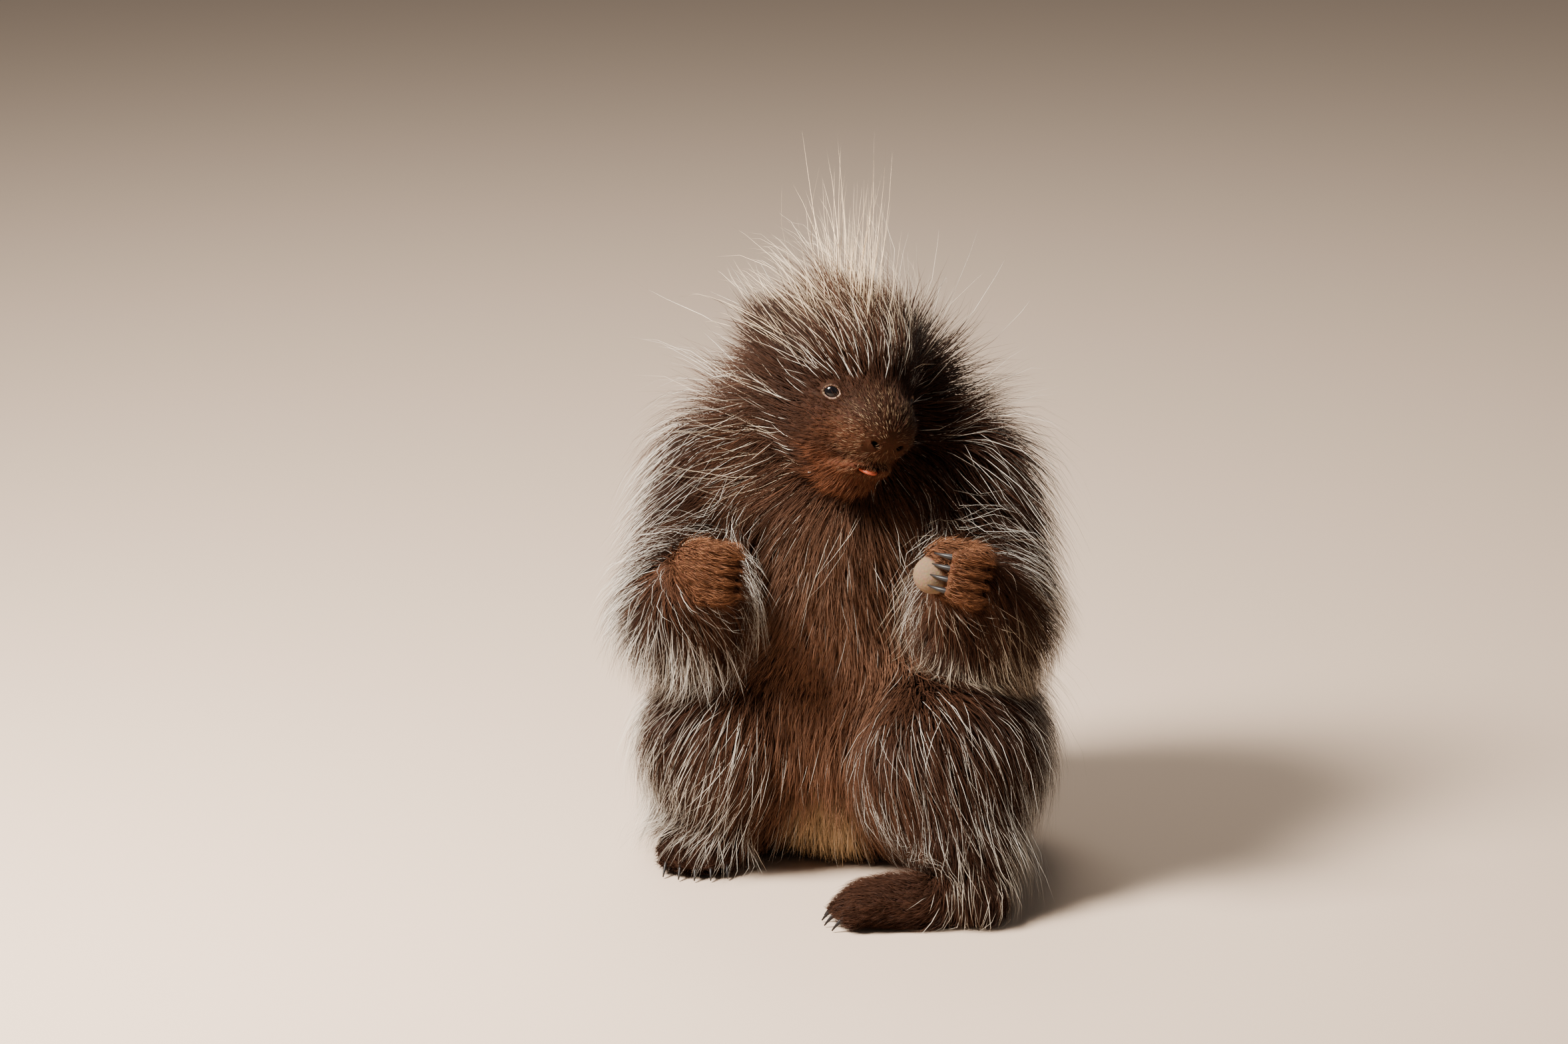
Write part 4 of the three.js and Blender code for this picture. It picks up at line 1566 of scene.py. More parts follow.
GROWTHS = {
    Part.HEAD: Growth(6, 9, 26, 12, 60, 9.0),
    Part.EAR: Growth(6, 9, 30, 15, 40, 0.0),
    Part.NECK: Growth(22, 60, 52, 28, 32, 6.5),
    Part.TORSO: Growth(22, 52, 36, 14, 28, 6.5),
    Part.TAIL: Growth(16, 35, 28, 10, 26, 6.5),
    Part.UPPER_ARM: Growth(18, 52, 42, 16, 30, 8.5),
    Part.FOREARM: Growth(17, 48, 44, 20, 32, 11.0),
    Part.FOREPAW: Growth(6, 7, 32, 14, 40, 0.0),
    Part.THIGH: Growth(20, 50, 31, 9, 30, 13.0),
    Part.SHANK: Growth(14, 30, 27, 8, 30, 9.0),
    Part.HIND_FOOT: Growth(8, 10, 32, 14, 40, 0.0),
}
CROWN_LENGTHS = {"under": 17.0, "guard": 56.0}  # what the head's hair grows to where it is long


class Hair(enum.Enum):
    """The kinds of hair in the coat."""

    UNDERFUR = "underfur"
    GUARD = "guard"
    SILVER = "silver"
    NAP = "nap"
    CREST = "crest"


@dataclass(frozen=True)
class HairForm:
    """What all hairs of one kind share: half their width, rings, how far they stray, and their clumps."""

    width: float
    rings: int
    spread: float
    clump: int
    pull: float = 0.3


FORMS = {
    Hair.UNDERFUR: HairForm(width=0.75, rings=2, spread=14, clump=8),
    Hair.GUARD: HairForm(width=0.28, rings=3, spread=10, clump=6),
    Hair.SILVER: HairForm(width=0.165, rings=4, spread=11, clump=2, pull=0.15),
    Hair.NAP: HairForm(width=0.3, rings=2, spread=12, clump=5),
    Hair.CREST: HairForm(width=0.2, rings=4, spread=9, clump=3, pull=0.2),
}


def clumped(paths: Array, form: HairForm, rng: np.random.Generator) -> Array:
    """Draws the tips of neighbouring strands together.

    Args:
        paths: Points along each strand.
        form: How many strands share a clump, and how far their tips draw together.
        rng: Repeatable random numbers.

    Returns:
        The paths, bent towards the strand that leads each clump.
    """
    leaders = np.nonzero(rng.random(len(paths)) < 1.0 / form.clump)[0]
    if not len(leaders):
        return paths
    tree = KDTree(len(leaders))
    for number, leader in enumerate(leaders):
        tree.insert(paths[leader, 0], number)
    tree.balance()
    nearest = leaders[[tree.find(root)[1] for root in paths[:, 0]]]
    share = form.pull * np.linspace(0, 1, paths.shape[1]) ** 1.5
    offset = paths[nearest] - paths
    near = ramp(np.linalg.norm(offset[:, 0], axis=1), 9.0, 3.0)
    return paths + share[None, :, None] * near[:, None, None] * offset


@dataclass
class Roots:
    """Points spread over the skin by area, with what is known of their places."""

    points: Array
    normals: Array
    closeness: Array
    place: Place
    area: float

    @classmethod
    def on(cls, mesh: bpy.types.Mesh, count: int, rng: np.random.Generator) -> "Roots":
        """Spreads points evenly over a mesh.

        Args:
            mesh: The skin.
            count: How many points.
            rng: Repeatable random numbers.

        Returns:
            The roots.
        """
        mesh.calc_loop_triangles()
        corners = corners_of(mesh)
        triangles = np.empty(len(mesh.loop_triangles) * 3, dtype=np.int32)
        mesh.loop_triangles.foreach_get("vertices", triangles)
        triangles = triangles.reshape(-1, 3)
        a, b, c = (corners[triangles[:, k]] for k in range(3))
        areas = 0.5 * np.linalg.norm(np.cross(b - a, c - a), axis=1)
        total = float(areas.sum())
        marks = (np.arange(count) + rng.random(count)) / count * total
        chosen = np.minimum(np.searchsorted(np.cumsum(areas), marks), len(areas) - 1)
        r1, r2 = np.sqrt(rng.random(count)), rng.random(count)
        a, b, c = a[chosen], b[chosen], c[chosen]
        points = (1 - r1)[:, None] * a + (r1 * (1 - r2))[:, None] * b + (r1 * r2)[:, None] * c
        return cls(points, outward(SMOOTH, points, 1.0), closeness_of(points), place_of(points), total)

    def mean(self, name: str) -> Array:
        """One number of the growths, mixed from the parts that each root belongs to."""
        return sum(getattr(growth, name) * self.place.share(part) for part, growth in GROWTHS.items())

    def bare(self) -> Array:
        """Where nothing grows: eyes, nostrils, the mouth, pads, and what faces the floor closely.

        Returns:
            True where nothing grows.
        """
        points = self.points
        closed = points[:, 2] < 1.2
        for side in SIDES:
            from_eye = away_from(FACE.eye_centre(side.sign), points)
            ahead = HEAD.local(points)[:, 0] > FACE.eye[0] + 1.5
            closed |= (from_eye < 7.5) & (FACE.almond(side.sign)(points) < np.where(ahead, 1.6, 0.7))
            closed |= away_from(HEAD.beside(FACE.nostril, side.sign), points) < 3.4
            closed |= BODY.pad(side)(points) < 0.4
        closed |= FACE.slit()(points) < 0.4
        return closed

    def kept(self, chosen: Array) -> "Roots":
        """Some of the roots.

        Args:
            chosen: Which of them to keep.

        Returns:
            Those that are kept.
        """
        weights = {part: value[chosen] for part, value in self.place.weights.items()}
        place = Place(self.points[chosen], weights)
        return Roots(self.points[chosen], self.normals[chosen], self.closeness[:, chosen], place, self.area)


@dataclass(frozen=True)
class SilverMap:
    """Where more or fewer pale-tipped hairs stand than the growths of the parts say."""

    place: Place

    def right(self) -> Array:
        """A share that is 1 on the animal's right side and 0 on its left."""
        return ramp(self.place.points[:, 0], 20, -20)

    def arm(self) -> Array:
        """How far each point belongs to an arm."""
        return self.place.share(Part.FOREARM, Part.UPPER_ARM)

    def flank(self) -> Array:
        """Hairs added along the flanks, more on the right one.

        Returns:
            One number for each point.
        """
        x, _, z = self.place.points.T
        ends = self.place.share(Part.HEAD, Part.FOREPAW, Part.HIND_FOOT)
        return mixed(5.0, 13.0, self.right()) * (ramp(np.abs(x), 48, 84) * ramp(z, 10, 60)) * (1 - ends)

    def crown(self) -> Array:
        """Hairs added on the crown."""
        forward, _, up = self.place.head().T
        return 30.0 * self.place.share(Part.HEAD) * ramp(up, 3, 10) * ramp(forward, -24, -8)

    def low_arm(self) -> Array:
        """Hairs added on the outer side of the arms below the shoulder, more on the right one."""
        x, _, z = self.place.points.T
        return mixed(4.0, 16.0, self.right()) * (self.arm() * ramp(z, 156, 130) * ramp(np.abs(x), 44, 60))

    def crease(self) -> Array:
        """How far the inner side of the bent arms is thinned.

        Returns:
            One number for each point.
        """
        x, _, z = self.place.points.T
        inner = self.arm() * ramp(z, 156, 132) * ramp(np.abs(x), 62, 44)
        return mixed(0.45, 0.8, self.right()) * inner

    def nape(self) -> Array:
        """How far the back of the head and neck is thinned."""
        nearer = np.maximum(self.place.share(Part.HEAD), self.place.share(Part.NECK))
        return 0.6 * nearer * ramp(self.place.head()[:, 0], -12, -28)

    def knee(self) -> Array:
        """How far the front of the legs is thinned, on top and towards the middle.

        Returns:
            One number for each point.
        """
        x, y, z = self.place.points.T
        front = self.place.share(Part.THIGH, Part.SHANK) * ramp(y, 0, -30)
        return mixed(0.6, 0.2, self.right()) * front * np.maximum(ramp(np.abs(x), 84, 52), ramp(z, 55, 85))

    def lap(self) -> Array:
        """How far the top of the thighs is thinned."""
        return 0.6 * self.place.share(Part.THIGH) * ramp(self.place.points[:, 2], 88, 100)

    def shade_beside_arm(self) -> Array:
        """How far pale-tipped hairs on the torso are thinned close to a forearm or forepaw, as painted
        shade of the arm.
        """
        near = ramp(clearance(self.place.points, Part.FOREARM, Part.FOREPAW), 24, 8)
        return 0.8 * (self.place.share(Part.TORSO) * near * ramp(self.place.points[:, 2], 182, 164))

    def groove(self) -> Array:
        """How far pale-tipped hairs are thinned in the groove between the elbows and the thighs, as painted
        shade in the fold.

        Returns:
            One number for each point.
        """
        x, y, z = self.place.points.T
        # Painted shade: fewer pale tips in the fold where the elbows meet the thighs.
        fold = ramp(np.abs(z - 102), 15, 8) * ramp(np.abs(x), 30, 44) * ramp(y, 15, -8)
        return 0.65 * fold * (1 - self.place.share(Part.FOREARM))

    def chest(self) -> Array:
        """How far the chest and throat are thinned."""
        x, y, _ = self.place.points.T
        return 0.8 * (self.place.share(Part.TORSO, Part.NECK) * ramp(y, -25, -42) * ramp(np.abs(x), 60, 36))

    def low_belly(self) -> Array:
        """How far the lower belly is thinned."""
        return 0.8 * self.place.belly() * ramp(self.place.points[:, 2], 135, 105)

    def thickness(self, growth: Array) -> Array:
        """How many pale-tipped hairs stand on a square centimetre.

        Args:
            growth: The number that the growths of the parts give at each point.

        Returns:
            The number at each point.
        """
        number = growth + self.flank() + self.crown()
        for thinned in (self.crease(), self.nape(), self.knee(), self.lap(), 0.3 * self.place.far_cheek()):
            number = number * (1 - thinned)
        number = number + self.low_arm()
        # The first two thin the pale tips as painted shade, beside the arms and in the fold above the
        # thighs.
        for thinned in (self.shade_beside_arm(), self.groove(), self.chest(), self.low_belly()):
            number = number * (1 - thinned)
        return number * (1 - self.place.share(Part.HIND_FOOT))


@dataclass
class Coat:
    """The whole coat, grown kind by kind and joined into pieces by the part of the body."""

    skin: bpy.types.Object
    finish: bpy.types.Material
    candidates: int = 150000
    underfur_thickness: float = 30.0
    nap_thickness: float = 170.0

    def build(self) -> None:
        """Grows every kind of hair."""
        rng = np.random.default_rng(SEED)
        roots = Roots.on(self.skin.data, self.candidates, rng)
        roots = roots.kept(~roots.bare())
        for kind in Hair:
            strands = self.strands(kind, roots, rng)
            LOG.info("%s: %d strands", kind.value, len(strands.roots))
            paths, outs = strands.paths(rng)
            paths = clumped(paths, FORMS[kind], rng)
            paths, outs, strands = self.fitted(paths, outs, strands)
            self.join(kind, strands, paths, outs)

    def lengths(self, roots: Roots, name: str) -> Array:
        """Lengths of hair at each root, with the head's own growth and the short coat of the belly.

        Args:
            roots: The roots.
            name: Which growth, under or guard.

        Returns:
            One length for each root.
        """
        place = roots.place
        longer = CROWN_LENGTHS[name] - getattr(GROWTHS[Part.HEAD], name)
        length = roots.mean(name) + place.crown() * longer
        length = length * (1 - 0.42 * place.far_cheek())
        return length * mixed(1.0, 0.5, place.belly())

    def wanted(self, kind: Hair, roots: Roots) -> Array:
        """How many hairs of one kind stand on a square centimetre at each root.

        Args:
            kind: The kind of hair.
            roots: The roots.

        Returns:
            One number for each root.
        """
        guard = self.lengths(roots, "guard")
        short = np.clip(1.25 - guard / 16.0, 0.0, 1.0)
        if kind is Hair.UNDERFUR:
            return self.underfur_thickness * (1 - short)
        if kind is Hair.GUARD:
            return roots.mean("thickness") * (1 - short) * mixed(1.0, 0.7, roots.place.belly())
        if kind is Hair.SILVER:
            return SilverMap(roots.place).thickness(roots.mean("silver")) * ramp(guard, 11, 21)
        if kind is Hair.NAP:
            return self.nap_thickness * short
        return self.crest(roots)

    def crest(self, roots: Roots) -> Array:
        """How many crest spines stand on a square centimetre: a narrow fan, and a few to each side.

        Args:
            roots: The roots.

        Returns:
            One number for each root.
        """
        forward, left, up = roots.place.head().T
        across = 30.0 * ramp(np.abs(left), 5.5, 1) + 0.5 * ramp(np.abs(left + 15), 8, 3)
        across = across + 1.2 * ramp(np.abs(left - 12), 5, 2)
        return across * ramp(up, 4, 14) * ramp(forward, 8, -4) * ramp(forward, -36, -28)

    def strands(self, kind: Hair, roots: Roots, rng: np.random.Generator) -> Strands:
        """Chooses the roots of one kind of hair and sets what each hair is.

        Args:
            kind: The kind of hair.
            roots: Candidate roots, spread by area.
            rng: Repeatable random numbers.

        Returns:
            The strands to grow.
        """
        per_cm2 = 100.0 * self.candidates / roots.area
        roots = roots.kept(rng.random(len(roots.points)) < self.wanted(kind, roots) / per_cm2)
        form, place, count = FORMS[kind], roots.place, len(roots.points)
        width = form.width * rng.normal(1.0, 0.15, count).clip(0.6, 1.4)
        tint = ground_tint(place) * rng.normal(1.0, 0.22, (count, 1)).clip(0.45, 1.8)
        back = place.crown() * ramp(place.head()[:, 0], 14, -14) * (1 - 0.6 * place.far_cheek())
        hairs = Strands(
            roots.points,
            roots.normals,
            roots.closeness,
            length=np.zeros(count),
            width=width,
            lift=(roots.mean("lift") + 30 * back) * DEGREE,
            settle=(roots.mean("settle") + 20 * back) * DEGREE,
            rise=np.zeros(count),
            root_tint=tint,
            tip_tint=tint,
            turning=np.zeros(count),
            rings=form.rings,
            stray=math.radians(form.spread),
        )
        shapers = {
            Hair.UNDERFUR: self.shape_underfur,
            Hair.GUARD: self.shape_guard,
            Hair.SILVER: self.shape_silver,
            Hair.NAP: self.shape_nap,
            Hair.CREST: self.shape_crest,
        }
        shapers[kind](hairs, roots, rng)
        hairs.lift = hairs.lift * rng.normal(1.0, 0.16, count)
        hairs.settle = hairs.settle * rng.normal(1.0, 0.3, count)
        return hairs

    def shape_underfur(self, hairs: Strands, roots: Roots, rng: np.random.Generator) -> None:
        """Sets the soft short hairs, which end more steeply than the rest and are finer on the head.

        Args:
            hairs: The hairs, which are changed in place.
            roots: The roots.
            rng: Repeatable random numbers.
        """
        count = len(roots.points)
        hairs.width = hairs.width * (1 - 0.5 * roots.place.share(Part.HEAD))
        hairs.length = self.lengths(roots, "under") * rng.normal(1.0, 0.15, count).clip(0.6, 1.4)
        hairs.tip_tint = hairs.root_tint * 1.25
        hairs.turning = np.full(count, 0.3)
        hairs.lift, hairs.settle = hairs.lift * 1.05, hairs.settle * 1.3

    def shape_guard(self, hairs: Strands, roots: Roots, rng: np.random.Generator) -> None:
        """Sets the long dark hairs.

        Args:
            hairs: The hairs, which are changed in place.
            roots: The roots.
            rng: Repeatable random numbers.
        """
        count = len(roots.points)
        hairs.length = self.lengths(roots, "guard") * rng.normal(0.84, 0.17, count).clip(0.4, 1.16)
        hairs.tip_tint = hairs.root_tint * 1.5
        hairs.turning = rng.normal(0.42, 0.13, count).clip(0.12, 0.8)
        self.keep_off_thighs(hairs, roots.place)

    def shape_silver(self, hairs: Strands, roots: Roots, rng: np.random.Generator) -> None:
        """Sets the pale-tipped hairs: uneven in the ruff, duller on legs and belly, warmer on the crown.

        Args:
            hairs: The hairs, which are changed in place.
            roots: The roots.
            rng: Repeatable random numbers.
        """
        place, count = roots.place, len(roots.points)
        uneven = 0.72 + 0.95 * rng.random(count) ** 2.2
        even = rng.normal(1.02, 0.2, count).clip(0.5, 1.5)
        ruff = place.share(Part.HEAD, Part.NECK, Part.TORSO, Part.UPPER_ARM)
        length = self.lengths(roots, "guard") * mixed(even, uneven, ruff)
        hairs.length = length * (1 + 0.55 * place.far_cheek())
        hairs.width = hairs.width * (1 - 0.2 * place.crown()) * (1 - 0.2 * place.belly())
        left = ramp(place.points[:, 0], -20, 20)
        warm_legs = 0.6 * left * place.share(Part.FOREARM) + 0.4 * place.share(Part.SHANK)
        warm = (0.2 + 0.75 * place.crown() + warm_legs).clip(0, 1)
        silver = mixed(Tint.SILVER.rgb(), Tint.CREAM.rgb(), warm[:, None])
        legs = place.share(Part.FOREARM, Part.THIGH, Part.SHANK)
        bright = 0.9 - 0.2 * legs - 0.15 * place.crown() - 0.3 * place.belly()
        hairs.tip_tint = silver * (bright[:, None] * rng.normal(1.0, 0.3, (count, 1)).clip(0.3, 1.2))
        late = 0.3 + 0.22 * left * place.share(Part.FOREARM) * ramp(place.points[:, 2], 108, 124)
        hairs.turning = (late + rng.normal(0, 0.13, count)).clip(0.05, 0.8)
        self.keep_off_thighs(hairs, place)

    def shape_nap(self, hairs: Strands, roots: Roots, rng: np.random.Generator) -> None:
        """Sets the short fur: longest on the chin, shortest round the eyes, with pale tips on the muzzle
        that are partly painted highlight and warm tips on the fists that are partly painted sheen.

        Args:
            hairs: The hairs, which are changed in place.
            roots: The roots.
            rng: Repeatable random numbers.
        """
        place, count = roots.place, len(roots.points)
        forward, _, up = place.head().T
        from_eyes = [away_from(FACE.eye_centre(side.sign), place.points) for side in SIDES]
        chin = place.share(Part.HEAD) * ramp(up, -27, -34)
        clipped = place.muzzle() * (1 - chin)
        length = (8.5 - 4.4 * clipped + 3.5 * chin) * rng.normal(1.0, 0.2, count).clip(0.5, 1.5)
        hairs.length = length * mixed(0.3, 1.0, ramp(np.min(from_eyes, axis=0), 5, 15))
        hairs.lift = hairs.lift + 16 * chin * DEGREE
        hairs.settle = hairs.settle + 14 * chin * DEGREE
        tip = hairs.root_tint * rng.normal(1.5, 0.35, (count, 1)).clip(0.7, 2.8)
        # Pale straw tips on the front of the muzzle: partly the bristles' own colour, partly painted
        # highlight.
        bristle_tips_and_highlight = place.muzzle() * ramp(forward, 22, 36) * rng.random(count) ** 3
        tip = painted(tip, Tint.STRAW, 0.75 * bristle_tips_and_highlight)
        # Warm tips on the fists: partly the fur's own colour, partly painted sheen.
        warm = place.share(Part.FOREPAW) * (0.15 + 0.85 * rng.random(count))
        hairs.tip_tint = painted(tip, Tint.CINNAMON_AND_SHEEN, warm)
        hairs.turning = np.full(count, 0.35)

    def shape_crest(self, hairs: Strands, roots: Roots, rng: np.random.Generator) -> None:
        """Sets the cream spines, which stand nearly straight out of the crown and lean upwards.

        Args:
            hairs: The hairs, which are changed in place.
            roots: The roots.
            rng: Repeatable random numbers.
        """
        count = len(roots.points)
        hairs.length = rng.normal(62, 17, count).clip(28, 94)
        hairs.tip_tint = Tint.CREAM.rgb() * rng.normal(0.95, 0.1, (count, 1)).clip(0.6, 1.1)
        hairs.turning = rng.normal(0.15, 0.08, count).clip(0.02, 0.5)
        hairs.lift, hairs.settle = np.full(count, 84 * DEGREE), np.full(count, 78 * DEGREE)
        hairs.rise = np.full(count, 0.55)

    def keep_off_thighs(self, hairs: Strands, place: Place) -> None:
        """Keeps the hair of the arms about as short as the room between each root and the thighs.

        Args:
            hairs: The hairs, which are changed in place.
            place: Where the hairs grow.
        """
        room = 6.0 + 0.9 * clearance(place.points, Part.THIGH)
        shorter = np.minimum(hairs.length, room)
        hairs.length = mixed(hairs.length, shorter, place.share(Part.FOREARM, Part.UPPER_ARM))

    def fitted(self, paths: Array, outs: Array, strands: Strands) -> tuple[Array, Array, Strands]:
        """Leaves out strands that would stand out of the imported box.

        Args:
            paths: Points along each strand.
            outs: The ways out of the skin there.
            strands: What each strand is.

        Returns:
            The same for the strands that stay.
        """
        low, high = (np.array(corner) / MM for corner in CAD_BOX)
        margin = BOX_MARGIN * (high - low)
        inside = ((paths > low - margin) & (paths < high + margin)).all(axis=(1, 2))
        return paths[inside], outs[inside], strands.kept(inside)

    def join(self, kind: Hair, strands: Strands, paths: Array, outs: Array) -> None:
        """Joins the strands of one kind into pieces, one or more for each stretch of the body.

        Args:
            kind: The kind of hair.
            strands: What each strand is.
            paths: Points along each strand.
            outs: The ways out of the skin there.
        """
        owner = strands.closeness.argmax(axis=0)
        groups: dict[str, list[int]] = {}
        for number, (part, side, _) in enumerate(PART_SHAPES):
            groups.setdefault(stretch_of(part, side), []).append(number)
        for name, numbers in groups.items():
            mine = np.isin(owner, numbers)
            if not mine.any():
                continue
            triangles = 6 * strands.rings - 2
            parts = max(1, math.ceil(mine.sum() * triangles / MOST_TRIANGLES))
            turn = np.arctan2(strands.roots[:, 0], -strands.roots[:, 1] + 1e-3)
            rank = np.argsort(np.argsort(np.where(mine, turn, np.inf)))
            for section in range(parts):
                first, last = section * mine.sum() / parts, (section + 1) * mine.sum() / parts
                chosen = mine & (rank >= first) & (rank < last)
                centre, axis, span = self.axis_of(strands.roots[mine])
                label = f"{kind.value}_{name}" + (f"_{section + 1}" if parts > 1 else "")
                piece = CoatPiece(label, centre, axis, span)
                thing = piece.build(strands.kept(chosen), paths[chosen], outs[chosen])
                dressed(thing, self.finish)

    def axis_of(self, roots: Array) -> tuple[Array, Array, float]:
        """Middle, main axis and length of a cloud of roots, round which its sheet is wrapped.

        Args:
            roots: The roots.

        Returns:
            The middle, the axis and the length.
        """
        centre = roots.mean(axis=0)
        spread = roots - centre
        _, axes = np.linalg.eigh(spread.T @ spread)
        axis = axes[:, -1] + vector(1e-4, 0, 0)
        reach = spread @ axis
        return centre, axis, float(np.ptp(reach)) * 1.02 + 1e-3


MOST_TRIANGLES = 190000  # in one piece
STRETCHES = {Part.UPPER_ARM: "arm", Part.FOREARM: "arm", Part.THIGH: "leg", Part.SHANK: "leg"}


def stretch_of(part: Part, side: Side | None) -> str:
    """The name of the stretch of the body whose coat one part shares."""
    name = STRETCHES.get(part, part.value)
    return name if side is None else f"{name}_{side.name}"


@dataclass
class Eyes:
    """Both dark glossy eyes."""

    segments: int = 40
    cornea: float = 0.35

    def build(self) -> None:
        """Builds each eye as a smooth ball with a slight bulge where it looks."""
        material = HornFinish("eye_gloss", (0.003, 0.0025, 0.003), 0.05, specular=0.3, wet=0.2).material()
        for side in SIDES:
            axes = FACE.eye_axes(side.sign)
            ball = bmesh.new()
            rings = self.segments // 2
            bmesh.ops.create_uvsphere(ball, u_segments=self.segments, v_segments=rings, radius=1.0)
            places = np.array([v.co for v in ball.verts])
            faces = [[v.index for v in face.verts] for face in ball.faces]
            ball.free()
            bulge = 1 + self.cornea / FACE.eye_radius * ramp(places[:, 2], 0.72, 0.98)
            corners = FACE.eye_centre(side.sign) + places * (bulge * FACE.eye_radius)[:, None] @ axes
            quads = np.array([f for f in faces if len(f) == 4])
            tris = np.array([f for f in faces if len(f) == 3])
            eye = mesh_from(f"eyeball_{side.name}", corners, [quads, tris])
            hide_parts(f"eye_{side.name}")
            dressed(eye, material)


@dataclass
class Claws:
    """The dark curved claws of the forepaws and hind feet."""

    sides: int = 12
    rings: int = 12
    radius: float = 2.1
    tip: float = 0.32
    flatness: float = 0.86
    tip_height: float = 0.9

    def build(self) -> None:
        """Builds every claw along the same curve as its solid."""
        material = HornFinish("claw_horn", (0.013, 0.011, 0.011), 0.4, specular=0.25).material()
        for side in SIDES:
            for number, place in enumerate(FIST_ROWS, 1):
                row = place * FIST_ROW
                root = side.in_fist(11, row * 0.9, -10.5)
                bend = side.in_fist(3, row * 0.88, -16.5)
                tip = side.in_fist(-4, row * 0.85, -13.5)
                name = f"claw_fore_{side.name}_{number}"
                self.claw(name, arch(root, bend, tip, self.rings), side.fist_axes()[1], material)
            axes = side.foot_axes()
            for place in FOOT_TOES:
                end = side.toe_end(place)
                root = end + vector(-4.5, -place * 0.4, 1.5) @ axes
                bend = end + vector(4, place * 0.3, 2.5) @ axes
                tip = end + vector(9.5, place * 0.8, 0) @ axes
                tip[2] = self.tip_height
                name = f"claw_hind_{side.name}_{place + 3}"
                self.claw(name, arch(root, bend, tip, self.rings), axes[1], material)

    def claw(self, node: str, path: Array, across: Array, material: bpy.types.Material) -> None:
        """Builds one claw.

        Args:
            node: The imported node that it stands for.
            path: Points along its middle.
            across: The way across it, level with its base.
            material: Its horn.
        """
        along = unit(np.gradient(path, axis=0))
        out = unit(np.cross(along, across))
        side = np.cross(out, along)
        radii = mixed(self.radius, self.tip, np.linspace(0, 1, len(path)) ** 1.25)
        angles = np.linspace(0, 2 * math.pi, self.sides, endpoint=False)
        rings = (
            path[:, None]
            + self.flatness * radii[:, None, None] * np.cos(angles)[None, :, None] * side[:, None]
            + radii[:, None, None] * np.sin(angles)[None, :, None] * out[:, None]
        )
        places = rings.reshape(-1, 3)
        n = self.sides
        ends = [tuple(range(n))[::-1], tuple((len(path) - 1) * n + c for c in range(n))]
        faces = [tube_quads(len(path), n)[:, ::-1], np.array(ends)[:, ::-1]]
        claw = mesh_from(f"horn_{node}", places, faces)
        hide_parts(node)
        dressed(claw, material)


@dataclass
class Tongue:
    """The tip of the tongue between the parted lips."""

    radii: tuple[float, float, float] = (7, 4.6, 1.6)

    def build(self) -> None:
        """Builds the tongue as a smooth flat form."""
        material = HornFinish("tongue_wet", (0.40, 0.070, 0.028), 0.4).material()
        ball = bmesh.new()
        bmesh.ops.create_icosphere(ball, subdivisions=4, radius=1.0)
        places = np.array([v.co for v in ball.verts]) * np.array(self.radii)
        faces = np.array([[v.index for v in face.verts] for face in ball.faces])
        ball.free()
        tongue = mesh_from("tongue_tip", HEAD.at(*FACE.tongue) + places @ HEAD_AXES, [faces])
        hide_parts("tongue")
        dressed(tongue, material)


@dataclass(frozen=True)
class SoftLight:
    """One soft square light, aimed at the chest.

    size and distance are in metres and power in watts. azimuth counts degrees round from the front, rising
    towards the animal's left, and elevation degrees above level.
    """

    name: str
    size: float
    power: float
    azimuth: float
    elevation: float
    distance: float
    colour: tuple[float, float, float]


LIGHTS = (
    SoftLight("key", 0.35, 67.0, azimuth=-50, elevation=46, distance=1.1, colour=(1.0, 0.94, 0.86)),
    SoftLight("fill", 1.6, 1.8, azimuth=70, elevation=25, distance=1.6, colour=(0.92, 0.96, 1.0)),
    SoftLight("rim", 0.8, 14.0, azimuth=-160, elevation=50, distance=1.4, colour=(1.0, 0.93, 0.84)),
)


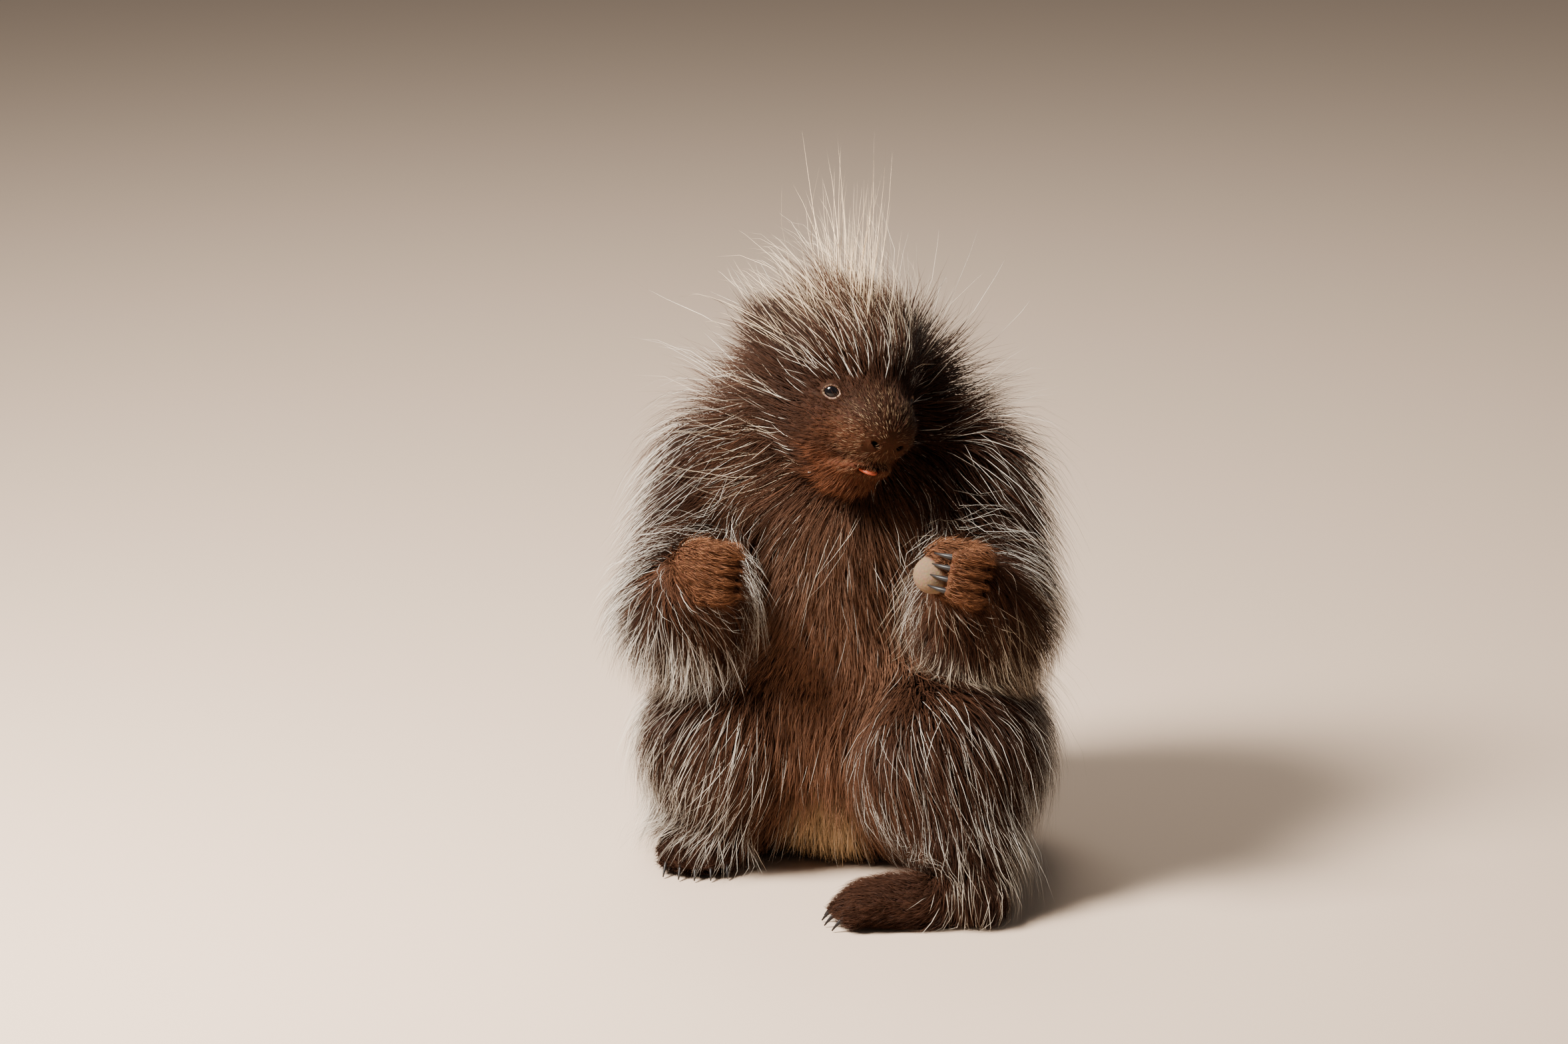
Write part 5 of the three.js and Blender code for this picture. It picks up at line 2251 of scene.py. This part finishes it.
@dataclass
class Studio:
    """A pale floor, soft lights and the camera at the photograph's angle."""

    azimuth: float = math.radians(10)
    elevation: float = math.radians(15)
    distance: float = 3.1
    frame_width: float = 0.706
    aim: Array = field(default_factory=lambda: vector(-36.1, 31.9, 140.5) * MM)
    chest: Array = field(default_factory=lambda: vector(0, 0, 140) * MM)
    sensor: float = 36.0
    floor_size: float = 12.0
    floor_colour: tuple[float, float, float] = (0.56, 0.43, 0.33)
    sky: tuple[float, float, float] = (1.0, 0.98, 0.95)
    sky_strength: float = 0.12

    def build(self) -> None:
        """Builds the floor, the lights and the camera."""
        self.floor()
        for light in LIGHTS:
            self.light(light)
        world = bpy.data.worlds.new("studio")
        world.use_nodes = True
        background = world.node_tree.nodes["Background"]
        background.inputs["Color"].default_value = (*self.sky, 1.0)
        background.inputs["Strength"].default_value = self.sky_strength
        bpy.context.scene.world = world
        self.camera()

    def floor(self) -> None:
        """Lays the plain pale floor."""
        bpy.ops.mesh.primitive_plane_add(size=self.floor_size, location=(0, 0, 0))
        floor = bpy.context.object
        floor.name = "studio_floor"
        material, shader = new_material("floor_pale", roughness=0.9, specular=0.5)
        shader.inputs["Base Color"].default_value = (*self.floor_colour, 1.0)
        floor.data.materials.append(material)

    def light(self, light: SoftLight) -> None:
        """Places one light round the animal.

        Args:
            light: The light.
        """
        lamp = bpy.data.lights.new(light.name, "AREA")
        lamp.size = light.size
        lamp.energy = light.power
        lamp.color = light.colour
        holder = bpy.data.objects.new(light.name, lamp)
        bpy.context.scene.collection.objects.link(holder)
        way = direction(math.radians(light.azimuth), math.radians(light.elevation))
        self.aim_at(holder, self.chest + way * light.distance, way)

    def aim_at(self, holder: bpy.types.Object, place: Array, back: Array) -> None:
        """Puts an object at a place with its -Z axis against a direction, level with the floor.

        Args:
            holder: The object.
            place: Where it goes.
            back: The way from what it faces to itself.
        """
        side = unit(np.cross(UP, back))
        upward = np.cross(back, side)
        matrix = np.eye(4)
        matrix[:3, :3] = np.stack([side, upward, back], axis=1)
        matrix[:3, 3] = place
        holder.matrix_world = Matrix(matrix.tolist())

    def camera(self) -> None:
        """Places the camera with the photograph's framing."""
        lens = bpy.data.cameras.new("camera")
        lens.sensor_width = self.sensor
        lens.lens = self.sensor * self.distance / self.frame_width
        lens.clip_end = 50.0
        camera = bpy.data.objects.new("camera", lens)
        bpy.context.scene.collection.objects.link(camera)
        back = direction(self.azimuth, self.elevation)
        self.aim_at(camera, self.aim + back * self.distance, back)
        bpy.context.scene.camera = camera


def main() -> None:
    """Builds every piece in order."""
    logging.basicConfig(level=logging.INFO, format="%(name)s %(relativeCreated)d ms: %(message)s")
    skin_maker = Skin()
    skin = skin_maker.build()
    skin_maker.dress(skin)
    Eyes().build()
    Tongue().build()
    Claws().build()
    Coat(skin, CoatFinish("guard_hair").material()).build()
    Studio().build()


if __name__ == "__main__":
    main()
